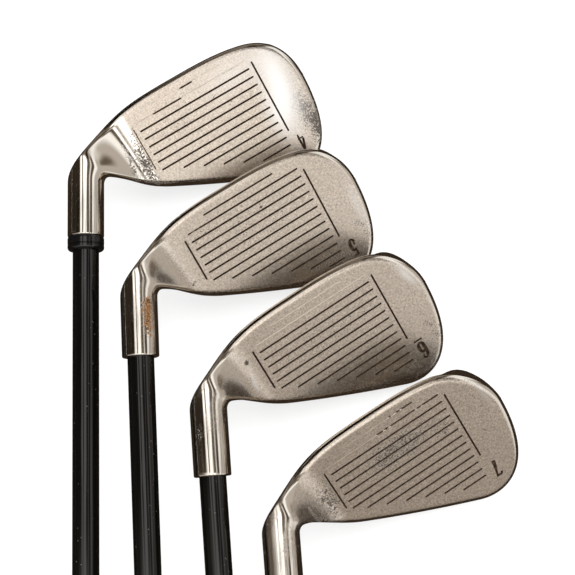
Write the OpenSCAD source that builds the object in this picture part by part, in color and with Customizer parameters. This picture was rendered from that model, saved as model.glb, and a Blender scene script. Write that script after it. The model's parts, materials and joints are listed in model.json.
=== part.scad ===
// Set of four cavity-back irons, lying face up and fanned out like shingles.
// Each club is built along its own shaft axis, then laid down by lay().
// Club frame: +Z along the shaft towards the grip, +X towards the toe, +Y out of the face.
// Head frame: +X towards the toe, +Y towards the target, +Z up, ground at Z = 0,
// with the shaft axis through the origin. All sizes are in millimetres and degrees.

/* [Clubs] */
// Length of the longest club along the shaft axis, from the ground to the grip's end
club_len = 978; // [930:1:1010]
// How much shorter each next club is
len_step = 12.7; // [5:0.1:20]
// Loft of the longest club
loft_first = 23; // [19:0.5:27]
// Loft added by each next club
loft_step = 3.3; // [2:0.1:4.5]
// Lie angle of the longest club
lie_first = 59.8; // [57:0.1:63]
// Lie added by each next club
lie_step = 0.5; // [0:0.1:1]

/* [Blade] */
// Shaft axis at the ground to the tip of the toe
blade_len = 79.9; // [74:0.1:86]
// Face length added by each next club
blade_step = 0.3; // [0:0.05:1]
// Height of the toe's shoulder, up the face
shoulder_h = 54.6; // [50:0.1:58]
// Shoulder height added by each next club
shoulder_step = 1; // [0:0.05:1.5]
// Height of the topline where it straightens at the heel, up the face
knee_h = 36; // [33:0.1:39]
// Knee height added by each next club
knee_step = 0.7; // [0:0.05:1]
// Leading edge ahead of the shaft axis
lead = 3; // [0:0.1:6]
// Width of the sole
sole_w = 17.5; // [14:0.1:22]
// Sole width added by each next club
sole_step = 0.6; // [0:0.05:1.5]
// Width of the topline
topline_w = 6.3; // [5:0.1:8]
// Thickness of the striking face
face_t = 3.2; // [2.4:0.1:4]
// Width of the rim around the cavity
rim_w = 4; // [3:0.1:6]
// Height of the cavity's floor edge above the leading edge, up the face
muscle_h = 15; // [11:0.1:19]
// Radius of the leading edge
lead_r = 2.2; // [1:0.1:3]
// Radius of the topline's front edge
top_r = 2.8; // [1:0.1:3]
// How far the sole bulges between its two edges
camber = 0.9; // [0.2:0.1:1.6]

/* [Scorelines] */
// Length of a full scoreline
score_len = 46.7; // [42:0.1:50]
// Shaft axis to the heel end of the scorelines
score_x = 16; // [14:0.1:19]
// How much nearer the shaft axis they start on each next club
score_x_step = 0.25; // [0:0.05:0.5]
// Height of the lowest scoreline up the face
score_h = 6; // [5.5:0.1:8]
// Height added on each next club
score_h_step = 0.33; // [0:0.01:0.6]
// Spacing of the scorelines
score_pitch = 3.24; // [2.8:0.02:3.8]
// Width of a scoreline
score_w = 0.8; // [0.4:0.1:1]
// Depth of a scoreline
score_d = 0.4; // [0.2:0.05:0.5]

/* [Hosel] */
// Diameter of the hosel
hosel_d = 13.1; // [12.4:0.1:14.4]
// Ground to the hosel's rim along the shaft axis, on the longest club
hosel_len = 41.3; // [39:0.1:46]
// Hosel length added by each next club
hosel_step = 1.6; // [0:0.1:2]
// Depth of the shaft bore
bore_depth = 24; // [20:0.5:25]
// Radius of the crotch between the hosel and the topline
crotch_r = 3.5; // [2:0.1:6]
// Length of the ferrule
ferrule_len = 5; // [3:0.5:14]

/* [Shaft] */
// Diameter of the shaft's tip
tip_d = 9.4; // [8.6:0.1:9.8]
// Diameter of the shaft's butt
butt_d = 15.2; // [14.2:0.1:16]
// Wall of the shaft
shaft_wall = 1.4; // [0.8:0.1:2]
// Straight length at the tip
tip_len = 170; // [120:5:260]
// Straight length at the butt
butt_len = 285; // [280:1:320]
// Length of the tip weight inside the shaft
weight_len = 24; // [10:1:40]

/* [Grip] */
// Length of the grip with its cap
grip_len = 268; // [250:1:275]
// Diameter of the cap, the widest part of the grip
cap_d = 26.6; // [25:0.1:28]
// Diameter of the grip just below the cap
grip_d = 24.6; // [23:0.1:25]
// Diameter of the grip at its mouth
mouth_d = 18; // [17.2:0.1:20]
// Thickness of the cap beyond the shaft
cap_t = 5; // [3:0.1:8]
// Diameter of the vent hole in the cap
vent_d = 3.6; // [3:0.1:5]
// Thickness of the grip tape
tape_t = 0.3; // [0.2:0.05:0.6]

/* [Layout] */
// Clearance between each head and the surface it lies on
lay_gap = 0.05; // [0:0.05:0.5]

/* [Hidden] */
fit_gap = 0.05;
FIRST_NUMBER = 4;
CLUBS = 4;
// Heads in the lying set: how far across, how far up, fan angle and roll of each club
spread_x = [-76.2, -56.2, -31.7, -6.5];
spread_y = [514.7, 472.1, 432.2, 389.6];
fan = [1.4, 2.9, 4.3, 4.65];
roll = [-1.2, -3, -0.4, 3];

function full_len(i) = club_len - i * len_step;
function loft(i) = loft_first + i * loft_step;
function lie(i) = lie_first + i * lie_step;
function toe_x(i) = blade_len + i * blade_step;
function rim_at(i) = hosel_len + i * hosel_step;

// ---- small helpers ----

function mix(a, b, t) = a * (1 - t) + b * t;
function clamp01(t) = min(1, max(0, t));
function smooth(t) = let (c = clamp01(t)) c * c * (3 - 2 * c);
function unit(v) = v / norm(v);
// Cubic through two points with a slope at each
function hermite(x, x0, y0, m0, x1, y1, m1) =
    let (d = x1 - x0, t = (x - x0) / d)
    (2 * t * t * t - 3 * t * t + 1) * y0 + (t * t * t - 2 * t * t + t) * d * m0
    + (3 * t * t - 2 * t * t * t) * y1 + (t * t * t - t * t) * d * m1;
// Cubic Bezier curve
function bezier(p, t) =
    let (s = 1 - t) s * s * s * p[0] + 3 * s * s * t * p[1] + 3 * s * t * t * p[2] + t * t * t * p[3];
// n points that round the corner at v, between the directions a and b, with radius r.
// On a straight line there is nothing to round, so the points are set out along it.
STRAIGHT = -0.985;
function corner(v, a, b, r, n) =
    a * b < STRAIGHT ? [for (k = [0 : n - 1]) v + a * 0.4 * (1 - 2 * k / (n - 1))]
    : let (half = acos(a * b) / 2, mid = unit(a + b), c = v + mid * r / sin(half),
           side = unit(a - b), sweep = 90 - half)
    [for (k = [0 : n - 1]) let (t = sweep * (1 - 2 * k / (n - 1)))
        c + r * (side * sin(t) - mid * cos(t))];

// ---- head: directions, outline and ribs ----

function shaft_dir(i) = [-cos(lie(i)), 0, sin(lie(i))];
function across_dir(i) = [sin(lie(i)), 0, cos(lie(i))];
function face_normal(i) = [0, cos(loft(i)), sin(loft(i))];
// Point of the face plane, u along the ground and v up the face
function on_face(i, u, v) = [u, lead - v * sin(loft(i)), v * cos(loft(i))];
// A point moved onto the face plane, at the same height and distance along the head
function face_over(i, p) = [p[0], lead - p[2] * tan(loft(i)), p[2]];

// Turning centre of the neck, above the crotch
crotch_at = 21.6;
function pivot(i) = crotch_at * shaft_dir(i) + (hosel_d / 2 + crotch_r) * across_dir(i);

// Distances along the head: heel end of the straight topline, its shoulder,
// the sole's lowest place and the toe end of the sole
knee_x = 15.9;
shoulder_x = 55;
low_x = 35;
sole_end_x = 63;
// Rise of the sole at the heel and at its toe end, and of the topline between its ends
heel_rise = 6.3;
sole_end_rise = 1.8;
topline_crown = 0.5;
// Slopes of the topline where it leaves the crotch, and of the sole at its ends
crotch_slope = 0.95;
heel_slope = -0.52;
toe_slope = 0.2;
// Pull of the curves that round the toe, along the topline and along the sole
toe_pull = 9;
// Height of the toe's tip up the face, and how far its two round corners reach towards it
toe_mid_h = 25;
toe_mid_step = 0.75;
toe_top_reach = 2.8;
toe_low_reach = 8.5;
toe_low_reach_step = 2.2;

function knee(i) = knee_h + i * knee_step;
function shoulder(i) = shoulder_h + i * shoulder_step;
function toe_mid(i) = toe_mid_h + i * toe_mid_step;
function top_slope(i) = (shoulder(i) - knee(i)) / (shoulder_x - knee_x);

// Topline height up the face, from the crotch to the shoulder of the toe
function topline(i, x) =
    let (t = (x - knee_x) / (shoulder_x - knee_x), c = pivot(i),
         crown_slope = 4 * topline_crown / (shoulder_x - knee_x))
    x > knee_x ? mix(knee(i), shoulder(i), t) + 4 * topline_crown * t * (1 - t)
    : hermite(x, c[0], (c[2] - crotch_r) / cos(loft(i)), crotch_slope,
              knee_x, knee(i), top_slope(i) + crown_slope);
// Height of the sole's lowest line above the ground
function sole_line(i, x) =
    x < low_x ? hermite(x, pivot(i)[0], heel_rise, heel_slope, low_x, 0, 0)
    : hermite(x, low_x, 0, 0, sole_end_x, sole_end_rise, toe_slope);
// The sharp corner between face and sole sits above the lowest line by part of the camber
corner_rise = 0.6 * camber;
function sole_corner(i, x) = (sole_line(i, x) + corner_rise) / cos(loft(i));

// Outline of the toe up the face, from the shoulder and from the sole to the tip
function toe_top(i, t) =
    let (start = [shoulder_x, shoulder(i)], tip = [toe_x(i), toe_mid(i)])
    bezier([start, start + toe_pull * [1, top_slope(i)],
            [tip[0], shoulder(i) + toe_top_reach], tip], t);
function toe_bottom(i, t) =
    let (start = [sole_end_x, sole_corner(i, sole_end_x)], tip = [toe_x(i), toe_mid(i)])
    bezier([start, start + toe_pull * [1, toe_slope],
            [tip[0], start[1] + toe_low_reach + i * toe_low_reach_step], tip], t);

// Ends of the cavity along the head, and how far its end walls lean
cavity_heel_x = 19;
cavity_toe_x = 66;
cavity_wall = 2.5;
// Where the ribs stand: distances along the blade, and shares of the way round the toe
BLADE_X = [0.5, 3.2, 5.8, 8.2, 9.8, 11.2, 15, 19, 21.5, 30, 39, 48];
TOE_T = [0, 0.14, 0.28, 0.42, 0.55, 0.67, 0.78, 0.88, 0.95];
NECK_STEPS = 8;
// Length given to the fanned ribs of the neck, in the distance along the head
neck_arc = 17;
FAR = 99;

// A rib is [top point, bottom point, distance along the head from the crotch, distance to
// the toe's tip], where the points lie on the front of the section
function neck_ribs(i) = [
    for (k = [0 : NECK_STEPS])
        let (t = k / NECK_STEPS, a = lie(i) * (1 - t), c = pivot(i), e = [-sin(a), 0, -cos(a)],
             start = c + (crotch_r + hosel_d) * [-sin(lie(i)), 0, -cos(lie(i))],
             end = [c[0], 0, heel_rise + corner_rise],
             way = norm(end - start) * 0.3,
             low = bezier([start, start - way * shaft_dir(i),
                           end - way * unit([1, 0, heel_slope]), end], t))
        [face_over(i, c + crotch_r * e), face_over(i, low), neck_arc * (t - 1), FAR]
];
function blade_ribs(i) = [
    for (x = BLADE_X) if (x > pivot(i)[0] + 1)
        [on_face(i, x, topline(i, x)), on_face(i, x, sole_corner(i, x)), x - pivot(i)[0], toe_x(i) - x]
];
function toe_ribs(i) = [
    for (t = TOE_T)
        let (a = toe_top(i, t), b = toe_bottom(i, t))
        [on_face(i, a[0], a[1]), on_face(i, b[0], b[1]), a[0] - pivot(i)[0],
         toe_x(i) - (a[0] + b[0]) / 2]
];

// How far the shape has turned from the round hosel into the blade, 0 to 1:
// a slow start, a straight ramp and a short fillet into the flat face
turn_from = -10;
turn_to = 13;
ramp_start = 0.35;
ramp_end = 0.2;
function blade_share(along) =
    let (t = clamp01((along - turn_from) / (turn_to - turn_from)),
         m = 1 / (1 - ramp_start / 2 - ramp_end / 2))
    t < ramp_start ? m * t * t / (2 * ramp_start)
    : t < 1 - ramp_end ? m * (t - ramp_start / 2)
    : 1 - m * (1 - t) * (1 - t) / (2 * ramp_end);

// Depth that a rounded edge of radius r takes off at a distance d from the rim
function edge_drop(d, r) = d >= r ? 0 : r - sqrt(max(0, r * r - (r - d) * (r - d)));

// Sole width at the heel as a share of the full width, and where it reaches the full width
heel_narrow = 0.72;
heel_x = -2;
full_x = 28;
// The toe's edge turns from sole to topline over this distance past the sole's end
toe_turn = 13;
// Section of the blade at a rib, as a polygon with rounded corners. Its corners go round from
// the middle of the sole: v0 leading edge, v1 and v2 topline, v3 to v6 cavity, v7 trailing edge
function blade_section(i, rib) =
    let (top = rib[0], low = rib[1], d = rib[3], chord = norm(top - low),
         up = (top - low) / chord,
         plane_x = unit([up[0], 0, up[2]]),
         flat = up * plane_x,
         n = [0, 1, 0] * flat - plane_x * (up * [0, 1, 0]),
         toeward = smooth((low[0] - sole_end_x) / toe_turn),
         width = (sole_w + i * sole_step)
               * mix(heel_narrow, 1, smooth((low[0] - heel_x) / (full_x - heel_x))),
         back = mix([0, -width, 0], -n * (topline_w + 1.5), toeward),
         drop = edge_drop(d, top_r),
         r1 = min(lead_r, chord * 0.2), r2 = min(top_r, chord * 0.2),
         thick = max(0.5, topline_w - 2 * drop),
         v0 = low - n * drop,
         v1 = top - n * drop,
         v2 = v1 - n * thick - up * 0.5,
         v7 = low + back * (1 - drop / (topline_w + 2)) + up * mix(camber * 0.5, 0, toeward),
         v8 = mix(v0, v7, 0.45) - up * mix(camber, 0.2, toeward),
         lip = min(rim_w, chord * 0.2),
         v3 = v2 - up * lip + n * 0.2,
         v6 = mix(v7, v3, min(0.34, 8 / norm(v3 - v7))),
         open = smooth((rib[2] + pivot(i)[0] - cavity_heel_x) / cavity_wall)
              * smooth((cavity_toe_x - rib[2] - pivot(i)[0]) / cavity_wall),
         v4 = mix(mix(v3, v6, 0.08), v1 - up * (lip + 2.2) - n * face_t, open),
         v5 = mix(mix(v3, v6, 0.8), v0 + up * muscle_h - n * face_t, open),
         ring = [v8, v0, v1, v2, v3, v4, v5, v6, v7],
         radii = [0, r1, r2, min(1.2, thick * 0.3), 0.5, 0.5, 1.5, 1.5, min(2, chord * 0.12)],
         counts = [1, 5, 4, 4, 2, 2, 2, 3, 4])
    concat([v8], corner(v0, unit(v8 - v0), unit(v1 - v0), r1, 5),
           [mix(v0, v1, 0.36), mix(v0, v1, 0.68)],
           [for (k = [2 : 8]) each corner(ring[k], unit(ring[k - 1] - ring[k]),
               unit(ring[(k + 1) % 9] - ring[k]), radii[k], counts[k])]);

// Where the same points sit on the round section, as angles from the heel side round the front
SECTION_TURN = [-4, 14, 24, 34, 44, 54, 72, 92, 112, 126, 140, 154, 170, 182, 194, 206,
    217, 227, 237, 247, 258, 270, 282, 292, 302, 312, 322, 332, 342];
// The neck stands this proud of the hosel tube, so that they meet in a clean step
neck_proud = 0.06;
function round_section(i, rib) =
    let (top = [rib[0][0], 0, rib[0][2]], low = [rib[1][0], 0, rib[1][2]],
         centre = (top + low) / 2, reach = (low - top) / 2 + neck_proud * unit(low - top))
    [for (a = SECTION_TURN) centre + reach * cos(a) + [0, hosel_d / 2 + neck_proud, 0] * sin(a)];

function sections(i) =
    [for (rib = concat(neck_ribs(i), blade_ribs(i), toe_ribs(i)))
        let (share = blade_share(rib[2]))
        share == 0 ? round_section(i, rib)
        : share == 1 ? blade_section(i, rib)
        : mix(round_section(i, rib), blade_section(i, rib), share)];

// ---- head: solids ----

// Chamfer at the hosel's rim
rim_cut = 0.5;
// Profile of [radius, height] points turned about the shaft axis
module turned(profile) rotate_extrude($fn = 96) polygon(profile);

module loft_through(rings) {
    n = len(rings[0]);
    m = len(rings);
    polyhedron(
        points = [for (ring = rings) each ring],
        faces = concat(
            [[for (k = [0 : n - 1]) k]],
            [for (j = [0 : m - 2]) for (k = [0 : n - 1])
                [j * n + k, (j + 1) * n + k, (j + 1) * n + (k + 1) % n]],
            [for (j = [0 : m - 2]) for (k = [0 : n - 1])
                [j * n + k, (j + 1) * n + (k + 1) % n, j * n + (k + 1) % n]],
            [[for (k = [n - 1 : -1 : 0]) (m - 1) * n + k]]));
}

// Puts +Z along the shaft, from the head frame
module along_shaft(i) rotate([0, lie(i) - 90, 0]) children();

// Scorelines: a short low one, full ones, then ones that shorten along the topline.
// A line across them closes each end.
SCORES = 14;
FULL_SCORES = 7;
low_score = [8.4, 37.7];
short_in = 7.3;
short_in_step = 1;
side_out = 1.8;
SIDE_FROM = 1.4;
HEEL_SIDE_TO = 6.6;
TOE_SIDE_TO = 10.5;
function score_at(i) = score_x - i * score_x_step;
function score_start(i, k) =
    k == 0 ? low_score[0] : k <= FULL_SCORES ? 0
    : short_in - i * short_in_step + (k - FULL_SCORES - 1) * score_pitch / top_slope(i);
function score_v(i, k) = score_h + i * score_h_step + k * score_pitch;
// A groove cutter on the face: its low heel corner, length along the face and height up it
module groove(i, x, v, length, height)
    translate(on_face(i, score_at(i) + x, v)) rotate([loft(i), 0, 0])
        translate([0, -score_d, 0]) cube([length, score_d + 1, height]);
module scoreline(i, k) let (x = score_start(i, k), end = k == 0 ? low_score[1] : score_len)
    groove(i, x, score_v(i, k) - score_w / 2, end - x, score_w);
module score_side(i, x, to)
    groove(i, x - score_w / 2, score_v(i, SIDE_FROM), score_w, (to - SIDE_FROM) * score_pitch);

module head(i) color([0.7, 0.67, 0.62]) difference() {
    union() {
        loft_through(sections(i));
        along_shaft(i) turned([[0, crotch_at - 0.5], [hosel_d / 2, crotch_at - 0.5],
            [hosel_d / 2, rim_at(i) - rim_cut], [hosel_d / 2 - rim_cut, rim_at(i)], [0, rim_at(i)]]);
    }
    along_shaft(i) translate([0, 0, rim_at(i) - bore_depth])
        cylinder(h = bore_depth + 5, d = tip_d + 2 * fit_gap, $fn = 96);
    for (k = [0 : SCORES - 1]) scoreline(i, k);
    score_side(i, -side_out, HEEL_SIDE_TO);
    score_side(i, score_len + side_out, TOE_SIDE_TO);
}

// ---- shaft, grip and small parts, along +Z ----

// The shaft's two ends
function tip_at(i) = rim_at(i) - bore_depth + 0.5;
function butt_at(i) = full_len(i) - cap_t;
// The grip's mouth
function mouth_at(i) = full_len(i) - grip_len;
// The tape is wound on the butt and the grip slides over it
tape_r = butt_d / 2 + fit_gap;
grip_r = tape_r + tape_t + fit_gap;
// How far the tape starts inside the grip's mouth, and how far it stops short of the butt's end
tape_inset = 4;
tape_short = 1.5;
// Short straight length and chamfer at the grip's mouth, and the straight length under the cap
mouth_len = 12;
mouth_cut = 0.6;
under_cap = 8;

module shaft(i) color([0.05, 0.05, 0.05])
    let (taper_from = tip_at(i) + tip_len, taper_to = butt_at(i) - butt_len)
    turned([[tip_d / 2, tip_at(i)], [tip_d / 2, taper_from],
        [butt_d / 2, taper_to], [butt_d / 2, butt_at(i)],
        [butt_d / 2 - shaft_wall, butt_at(i)], [butt_d / 2 - shaft_wall, taper_to],
        [tip_d / 2 - shaft_wall, taper_from], [tip_d / 2 - shaft_wall, tip_at(i)]]);

module tip_weight(i) color([0.72, 0.6, 0.3]) translate([0, 0, tip_at(i)])
    cylinder(h = weight_len, d = tip_d - 2 * shaft_wall - 2 * fit_gap, $fn = 96);

// Ring with a rolled lip at its shaft end
lip_r = 1.2;
module ferrule(i) color([0.03, 0.03, 0.03]) translate([0, 0, rim_at(i) + fit_gap])
    turned([[tip_d / 2 + fit_gap, 0], [hosel_d / 2 - lip_r / 3, 0], [hosel_d / 2, lip_r / 3],
        for (a = [0 : 15 : 90])
            [hosel_d / 2 - lip_r * (1 - cos(a)), ferrule_len - lip_r * (1 - sin(a))],
        [tip_d / 2 + fit_gap, ferrule_len]]);

module grip_tape(i) color([0.8, 0.76, 0.62])
    let (from = mouth_at(i) + tape_inset, to = butt_at(i) - tape_short)
    turned([[tape_r, from], [tape_r + tape_t, from], [tape_r + tape_t, to], [tape_r, to]]);

module grip(i) color([0.06, 0.06, 0.06])
    turned([[grip_r, mouth_at(i)], [mouth_d / 2 - mouth_cut, mouth_at(i)],
        [mouth_d / 2, mouth_at(i) + mouth_cut], [mouth_d / 2, mouth_at(i) + mouth_len],
        [grip_d / 2, butt_at(i) - under_cap], [grip_d / 2, butt_at(i)], [grip_r, butt_at(i)]]);

// Domed disc with a vent hole through its middle
dome_r = 2.2;
module grip_cap(i) color([0.1, 0.1, 0.1]) translate([0, 0, butt_at(i) + fit_gap])
    let (top = cap_t - fit_gap)
    turned([[vent_d / 2, 0], [cap_d / 2, 0],
        for (a = [0 : 15 : 90]) [cap_d / 2 - dome_r * (1 - cos(a)), top - dome_r * (1 - sin(a))],
        [vent_d / 2, top]]);

// ---- the lying set ----

// Slope of a club whose butt and head both touch the surface
function pitch_from(i, h) = asin((h - cap_d / 2) / full_len(i));
// How deep the head reaches below the shaft axis at the ground point, when it lies at slope a
function reach_down(i, a) = -min([
    for (ring = sections(i)) for (p = ring)
        let (along = p * shaft_dir(i), across = p * across_dir(i))
        (across * sin(roll[i]) + p[1] * cos(roll[i])) * cos(a) - along * sin(a)]);
axis_h = [for (i = [0 : CLUBS - 1])
    let (first = reach_down(i, pitch_from(i, 2 * cap_d)))
    reach_down(i, pitch_from(i, first)) + lay_gap];
module lay(i)
    translate([spread_x[i], spread_y[i], axis_h[i]])
        rotate([0, 0, fan[i]]) rotate([90 + pitch_from(i, axis_h[i]), 0, 0]) rotate([0, 0, roll[i]])
            children();

module piece(i, name) lay(i) {
    // The head is modelled at address and turned so that its shaft axis stands upright
    if (name == "head") rotate([0, 90 - lie(i), 0]) head(i);
    if (name == "shaft") shaft(i);
    if (name == "grip") grip(i);
    if (name == "grip_cap") grip_cap(i);
    if (name == "grip_tape") grip_tape(i);
    if (name == "tip_weight") tip_weight(i);
    if (name == "ferrule") ferrule(i);
}

for (i = [0 : CLUBS - 1])
    for (name = ["head", "shaft", "grip", "grip_cap", "grip_tape", "tip_weight"])
        piece(i, name);
piece(0, "ferrule");  // iron_4_ferrule
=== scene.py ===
"""Four cavity-back irons, lying face up and fanned out like shingles.

Each head is one lofted surface with its scorelines and number cut in; shafts, ferrule, grips
and caps are turned profiles. A club's place is worked out from its two mounts in the record:
the vent hole gives the shaft's line and the gauge point gives the face's direction.
"""
import json
import math

import bpy
import numpy as np
from bpy.props import FloatProperty, FloatVectorProperty, PointerProperty
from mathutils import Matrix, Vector


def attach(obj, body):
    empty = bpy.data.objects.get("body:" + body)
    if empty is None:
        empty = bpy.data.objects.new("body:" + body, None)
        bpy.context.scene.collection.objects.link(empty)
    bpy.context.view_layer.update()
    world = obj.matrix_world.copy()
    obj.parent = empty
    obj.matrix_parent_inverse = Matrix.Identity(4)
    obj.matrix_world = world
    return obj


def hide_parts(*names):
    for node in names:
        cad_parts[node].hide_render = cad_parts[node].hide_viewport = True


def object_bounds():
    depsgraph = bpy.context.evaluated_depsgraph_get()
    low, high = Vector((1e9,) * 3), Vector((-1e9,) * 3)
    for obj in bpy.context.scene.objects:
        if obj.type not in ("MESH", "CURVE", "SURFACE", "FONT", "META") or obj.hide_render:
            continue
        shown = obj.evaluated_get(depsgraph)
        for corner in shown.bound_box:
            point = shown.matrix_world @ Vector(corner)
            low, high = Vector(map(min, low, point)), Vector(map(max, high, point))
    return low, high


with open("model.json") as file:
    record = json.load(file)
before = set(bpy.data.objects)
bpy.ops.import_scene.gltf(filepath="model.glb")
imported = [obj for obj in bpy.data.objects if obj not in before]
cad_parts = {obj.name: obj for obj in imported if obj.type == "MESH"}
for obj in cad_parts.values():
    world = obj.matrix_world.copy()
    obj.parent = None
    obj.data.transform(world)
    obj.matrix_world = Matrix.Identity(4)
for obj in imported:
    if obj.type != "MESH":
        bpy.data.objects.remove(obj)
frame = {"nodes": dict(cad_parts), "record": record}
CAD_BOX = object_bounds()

bl_info = {
    "name": "Golf irons",
    "version": (1, 0, 0),
    "blender": (4, 5, 0),
    "location": "3D View > Sidebar > Golf irons",
    "description": "Builds a lying set of four cavity-back irons around their CAD frame",
    "category": "Add Mesh",
}

MM = 0.001
CLUBS = 4
FIRST_NUMBER = 4
# Glue gap between two pieces of a club, in millimetres
FIT_GAP = 0.05


# ---- sizes and colours that a user would change ----

def length(name, description, value):
    """A length property, given in millimetres."""
    return FloatProperty(name=name, description=description, default=value * MM,
                         precision=5, unit="LENGTH")


def degrees(name, description, value):
    """An angle property, given in degrees."""
    return FloatProperty(name=name, description=description, default=math.radians(value),
                         unit="ROTATION")


def colour(name, description, value):
    """A linear colour property."""
    return FloatVectorProperty(name=name, description=description, default=value,
                               size=3, min=0, max=1, subtype="COLOR")


class IronHeadSizes(bpy.types.PropertyGroup):
    """Sizes of the longest iron's head, and what each next club adds to them."""
    loft: degrees("Loft", "Loft of the longest club", 23)
    loft_step: degrees("Loft step", "Loft added by each next club", 3.3)
    lie: degrees("Lie", "Lie angle of the longest club", 59.8)
    lie_step: degrees("Lie step", "Lie added by each next club", 0.5)
    blade_len: length("Blade length", "Shaft axis at the ground to the tip of the toe", 79.9)
    blade_step: length("Blade step", "Face length added by each next club", 0.3)
    shoulder_h: length("Shoulder", "Height of the toe's shoulder, up the face", 54.6)
    shoulder_step: length("Shoulder step", "Shoulder height added by each next club", 1)
    knee_h: length("Knee", "Height of the topline at the heel, up the face", 36)
    knee_step: length("Knee step", "Knee height added by each next club", 0.7)
    lead: length("Lead", "Leading edge ahead of the shaft axis", 3)
    sole_w: length("Sole", "Width of the sole", 17.5)
    sole_step: length("Sole step", "Sole width added by each next club", 0.6)
    topline_w: length("Topline", "Width of the topline", 6.3)
    face_t: length("Face", "Thickness of the striking face", 3.2)
    rim_w: length("Rim", "Width of the rim around the cavity", 4)
    muscle_h: length("Muscle", "Height of the cavity's floor edge, up the face", 15)
    lead_r: length("Leading radius", "Radius of the leading edge", 2.2)
    top_r: length("Topline radius", "Radius of the topline's front edge", 2.8)
    camber: length("Camber", "How far the sole bulges between its edges", 0.9)
    hosel_d: length("Hosel", "Diameter of the hosel", 13.1)
    hosel_len: length("Hosel length", "Ground to the hosel's rim along the shaft", 41.3)
    hosel_step: length("Hosel step", "Hosel length added by each next club", 1.6)
    bore_depth: length("Bore", "Depth of the shaft bore", 24)
    crotch_r: length("Crotch", "Radius between the hosel and the topline", 3.5)


class ScorelineSizes(bpy.types.PropertyGroup):
    """Sizes of the scorelines on the longest iron, and their steps."""
    full: length("Length", "Length of a full scoreline", 46.7)
    start: length("Start", "Shaft axis to the heel end of the scorelines", 16)
    start_step: length("Start step", "How much nearer they start on each next club", 0.25)
    height: length("Height", "Height of the lowest scoreline up the face", 6)
    height_step: length("Height step", "Height added on each next club", 0.33)
    pitch: length("Pitch", "Spacing of the scorelines", 3.24)
    width: length("Width", "Width of a scoreline", 0.8)
    depth: length("Depth", "Depth of a scoreline", 0.4)


class ShaftAndGripSizes(bpy.types.PropertyGroup):
    """Sizes of the shafts, the ferrule, the grips and their caps."""
    club_len: length("Club length", "Length of the longest club along the shaft axis", 978)
    len_step: length("Length step", "How much shorter each next club is", 12.7)
    tip_d: length("Tip", "Diameter of the shaft's tip", 9.4)
    butt_d: length("Butt", "Diameter of the shaft's butt", 15.2)
    wall: length("Wall", "Wall of the shaft", 1.4)
    tip_len: length("Tip length", "Straight length at the tip", 170)
    butt_len: length("Butt length", "Straight length at the butt", 285)
    ferrule_len: length("Ferrule", "Length of the ferrule", 5)
    grip_len: length("Grip", "Length of the grip with its cap", 268)
    cap_d: length("Cap", "Diameter of the cap", 26.6)
    grip_d: length("Grip below the cap", "Diameter of the grip below its cap", 24.6)
    mouth_d: length("Mouth", "Diameter of the grip at its mouth", 18)
    cap_t: length("Cap thickness", "Thickness of the cap beyond the shaft", 5)
    vent_d: length("Vent", "Diameter of the vent hole in the cap", 3.6)
    tape_t: length("Tape", "Thickness of the grip tape", 0.3)


class IronFinishes(bpy.types.PropertyGroup):
    """Colours of the finishes."""
    steel: colour("Steel", "Polished stainless steel", (0.80, 0.755, 0.69))
    satin: colour("Satin steel", "Blasted steel of the striking face", (0.665, 0.585, 0.505))
    # Colour of the painted highlights on the toes, and of a few rubbed smears
    rubbed: colour("Rubbed steel", "Steel rubbed bright by use", (0.93, 0.92, 0.91))
    # Also the colour of a patch of painted shade on iron 5's topline
    patina: colour("Patina", "Dark specks of worn steel", (0.085, 0.07, 0.058))
    grime: colour("Grime", "Dirt in the scorelines and the number", (0.022, 0.013, 0.008))
    rust: colour("Rust", "Rust specks on a hosel", (0.27, 0.135, 0.055))
    lacquer: colour("Lacquer", "Black lacquer of the shafts", (0.0025, 0.0023, 0.002))
    dust: colour("Dust", "Dust on the lacquer", (0.10, 0.095, 0.085))
    ferrule: colour("Ferrule", "Black plastic of the ferrule", (0.004, 0.004, 0.004))
    rubber: colour("Rubber", "Rubber of the grips", (0.022, 0.022, 0.022))
    tape: colour("Tape", "Paper of the grip tape", (0.62, 0.55, 0.36))
    brass: colour("Brass", "Brass of the tip weights", (0.72, 0.50, 0.20))
    floor: colour("Floor", "Floor and backdrop", (0.36, 0.36, 0.36))


# ---- small helpers, on whole arrays ----

# A rounding takes up at most this share of a side
SIDE_SHARE = 0.42


def mix(a, b, t):
    """a where t is 0 and b where it is 1: a times (1 - t) plus b times t."""
    return a * (1 - t) + b * t


def smooth(t):
    """Smoothstep: 3t^2 - 2t^3 between 0 and 1."""
    t = np.clip(t, 0, 1)
    return t * t * (3 - 2 * t)


def unit(v):
    """Vectors of length 1 along the last axis."""
    return v / np.maximum(np.linalg.norm(v, axis=-1, keepdims=True), 1e-9)


def dot(a, b):
    """Dot products along the last axis, which stays with length 1."""
    return (a * b).sum(-1, keepdims=True)


def hermite(x, x0, y0, m0, x1, y1, m1):
    """Cubic through two points with a slope at each."""
    d = x1 - x0
    t = (x - x0) / d
    return ((2 * t**3 - 3 * t**2 + 1) * y0 + (t**3 - 2 * t**2 + t) * d * m0
            + (3 * t**2 - 2 * t**3) * y1 + (t**3 - t**2) * d * m1)


def bezier(p, t):
    """Cubic Bezier curve: the four points weighted by (1-t)^3, 3(1-t)^2 t, 3(1-t) t^2, t^3."""
    s = 1 - t
    return s**3 * p[0] + 3 * s * s * t * p[1] + 3 * s * t * t * p[2] + t**3 * p[3]


def through(points, steps):
    """Catmull-Rom curve through rows of numbers: between two rows, a cubic whose slope at each
    is half the difference of the row's two neighbours."""
    p = np.asarray(points, float)
    p = np.vstack([2 * p[0] - p[1], p, 2 * p[-1] - p[-2]])
    t = np.linspace(0, len(p) - 3, steps)
    k = np.minimum(t.astype(int), len(p) - 4)
    t = (t - k)[:, None]
    a, b, c, d = p[k], p[k + 1], p[k + 2], p[k + 3]
    return 0.5 * (2 * b + (c - a) * t + (2 * a - 5 * b + 4 * c - d) * t**2
                  + (3 * b - a - 3 * c + d) * t**3)


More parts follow.
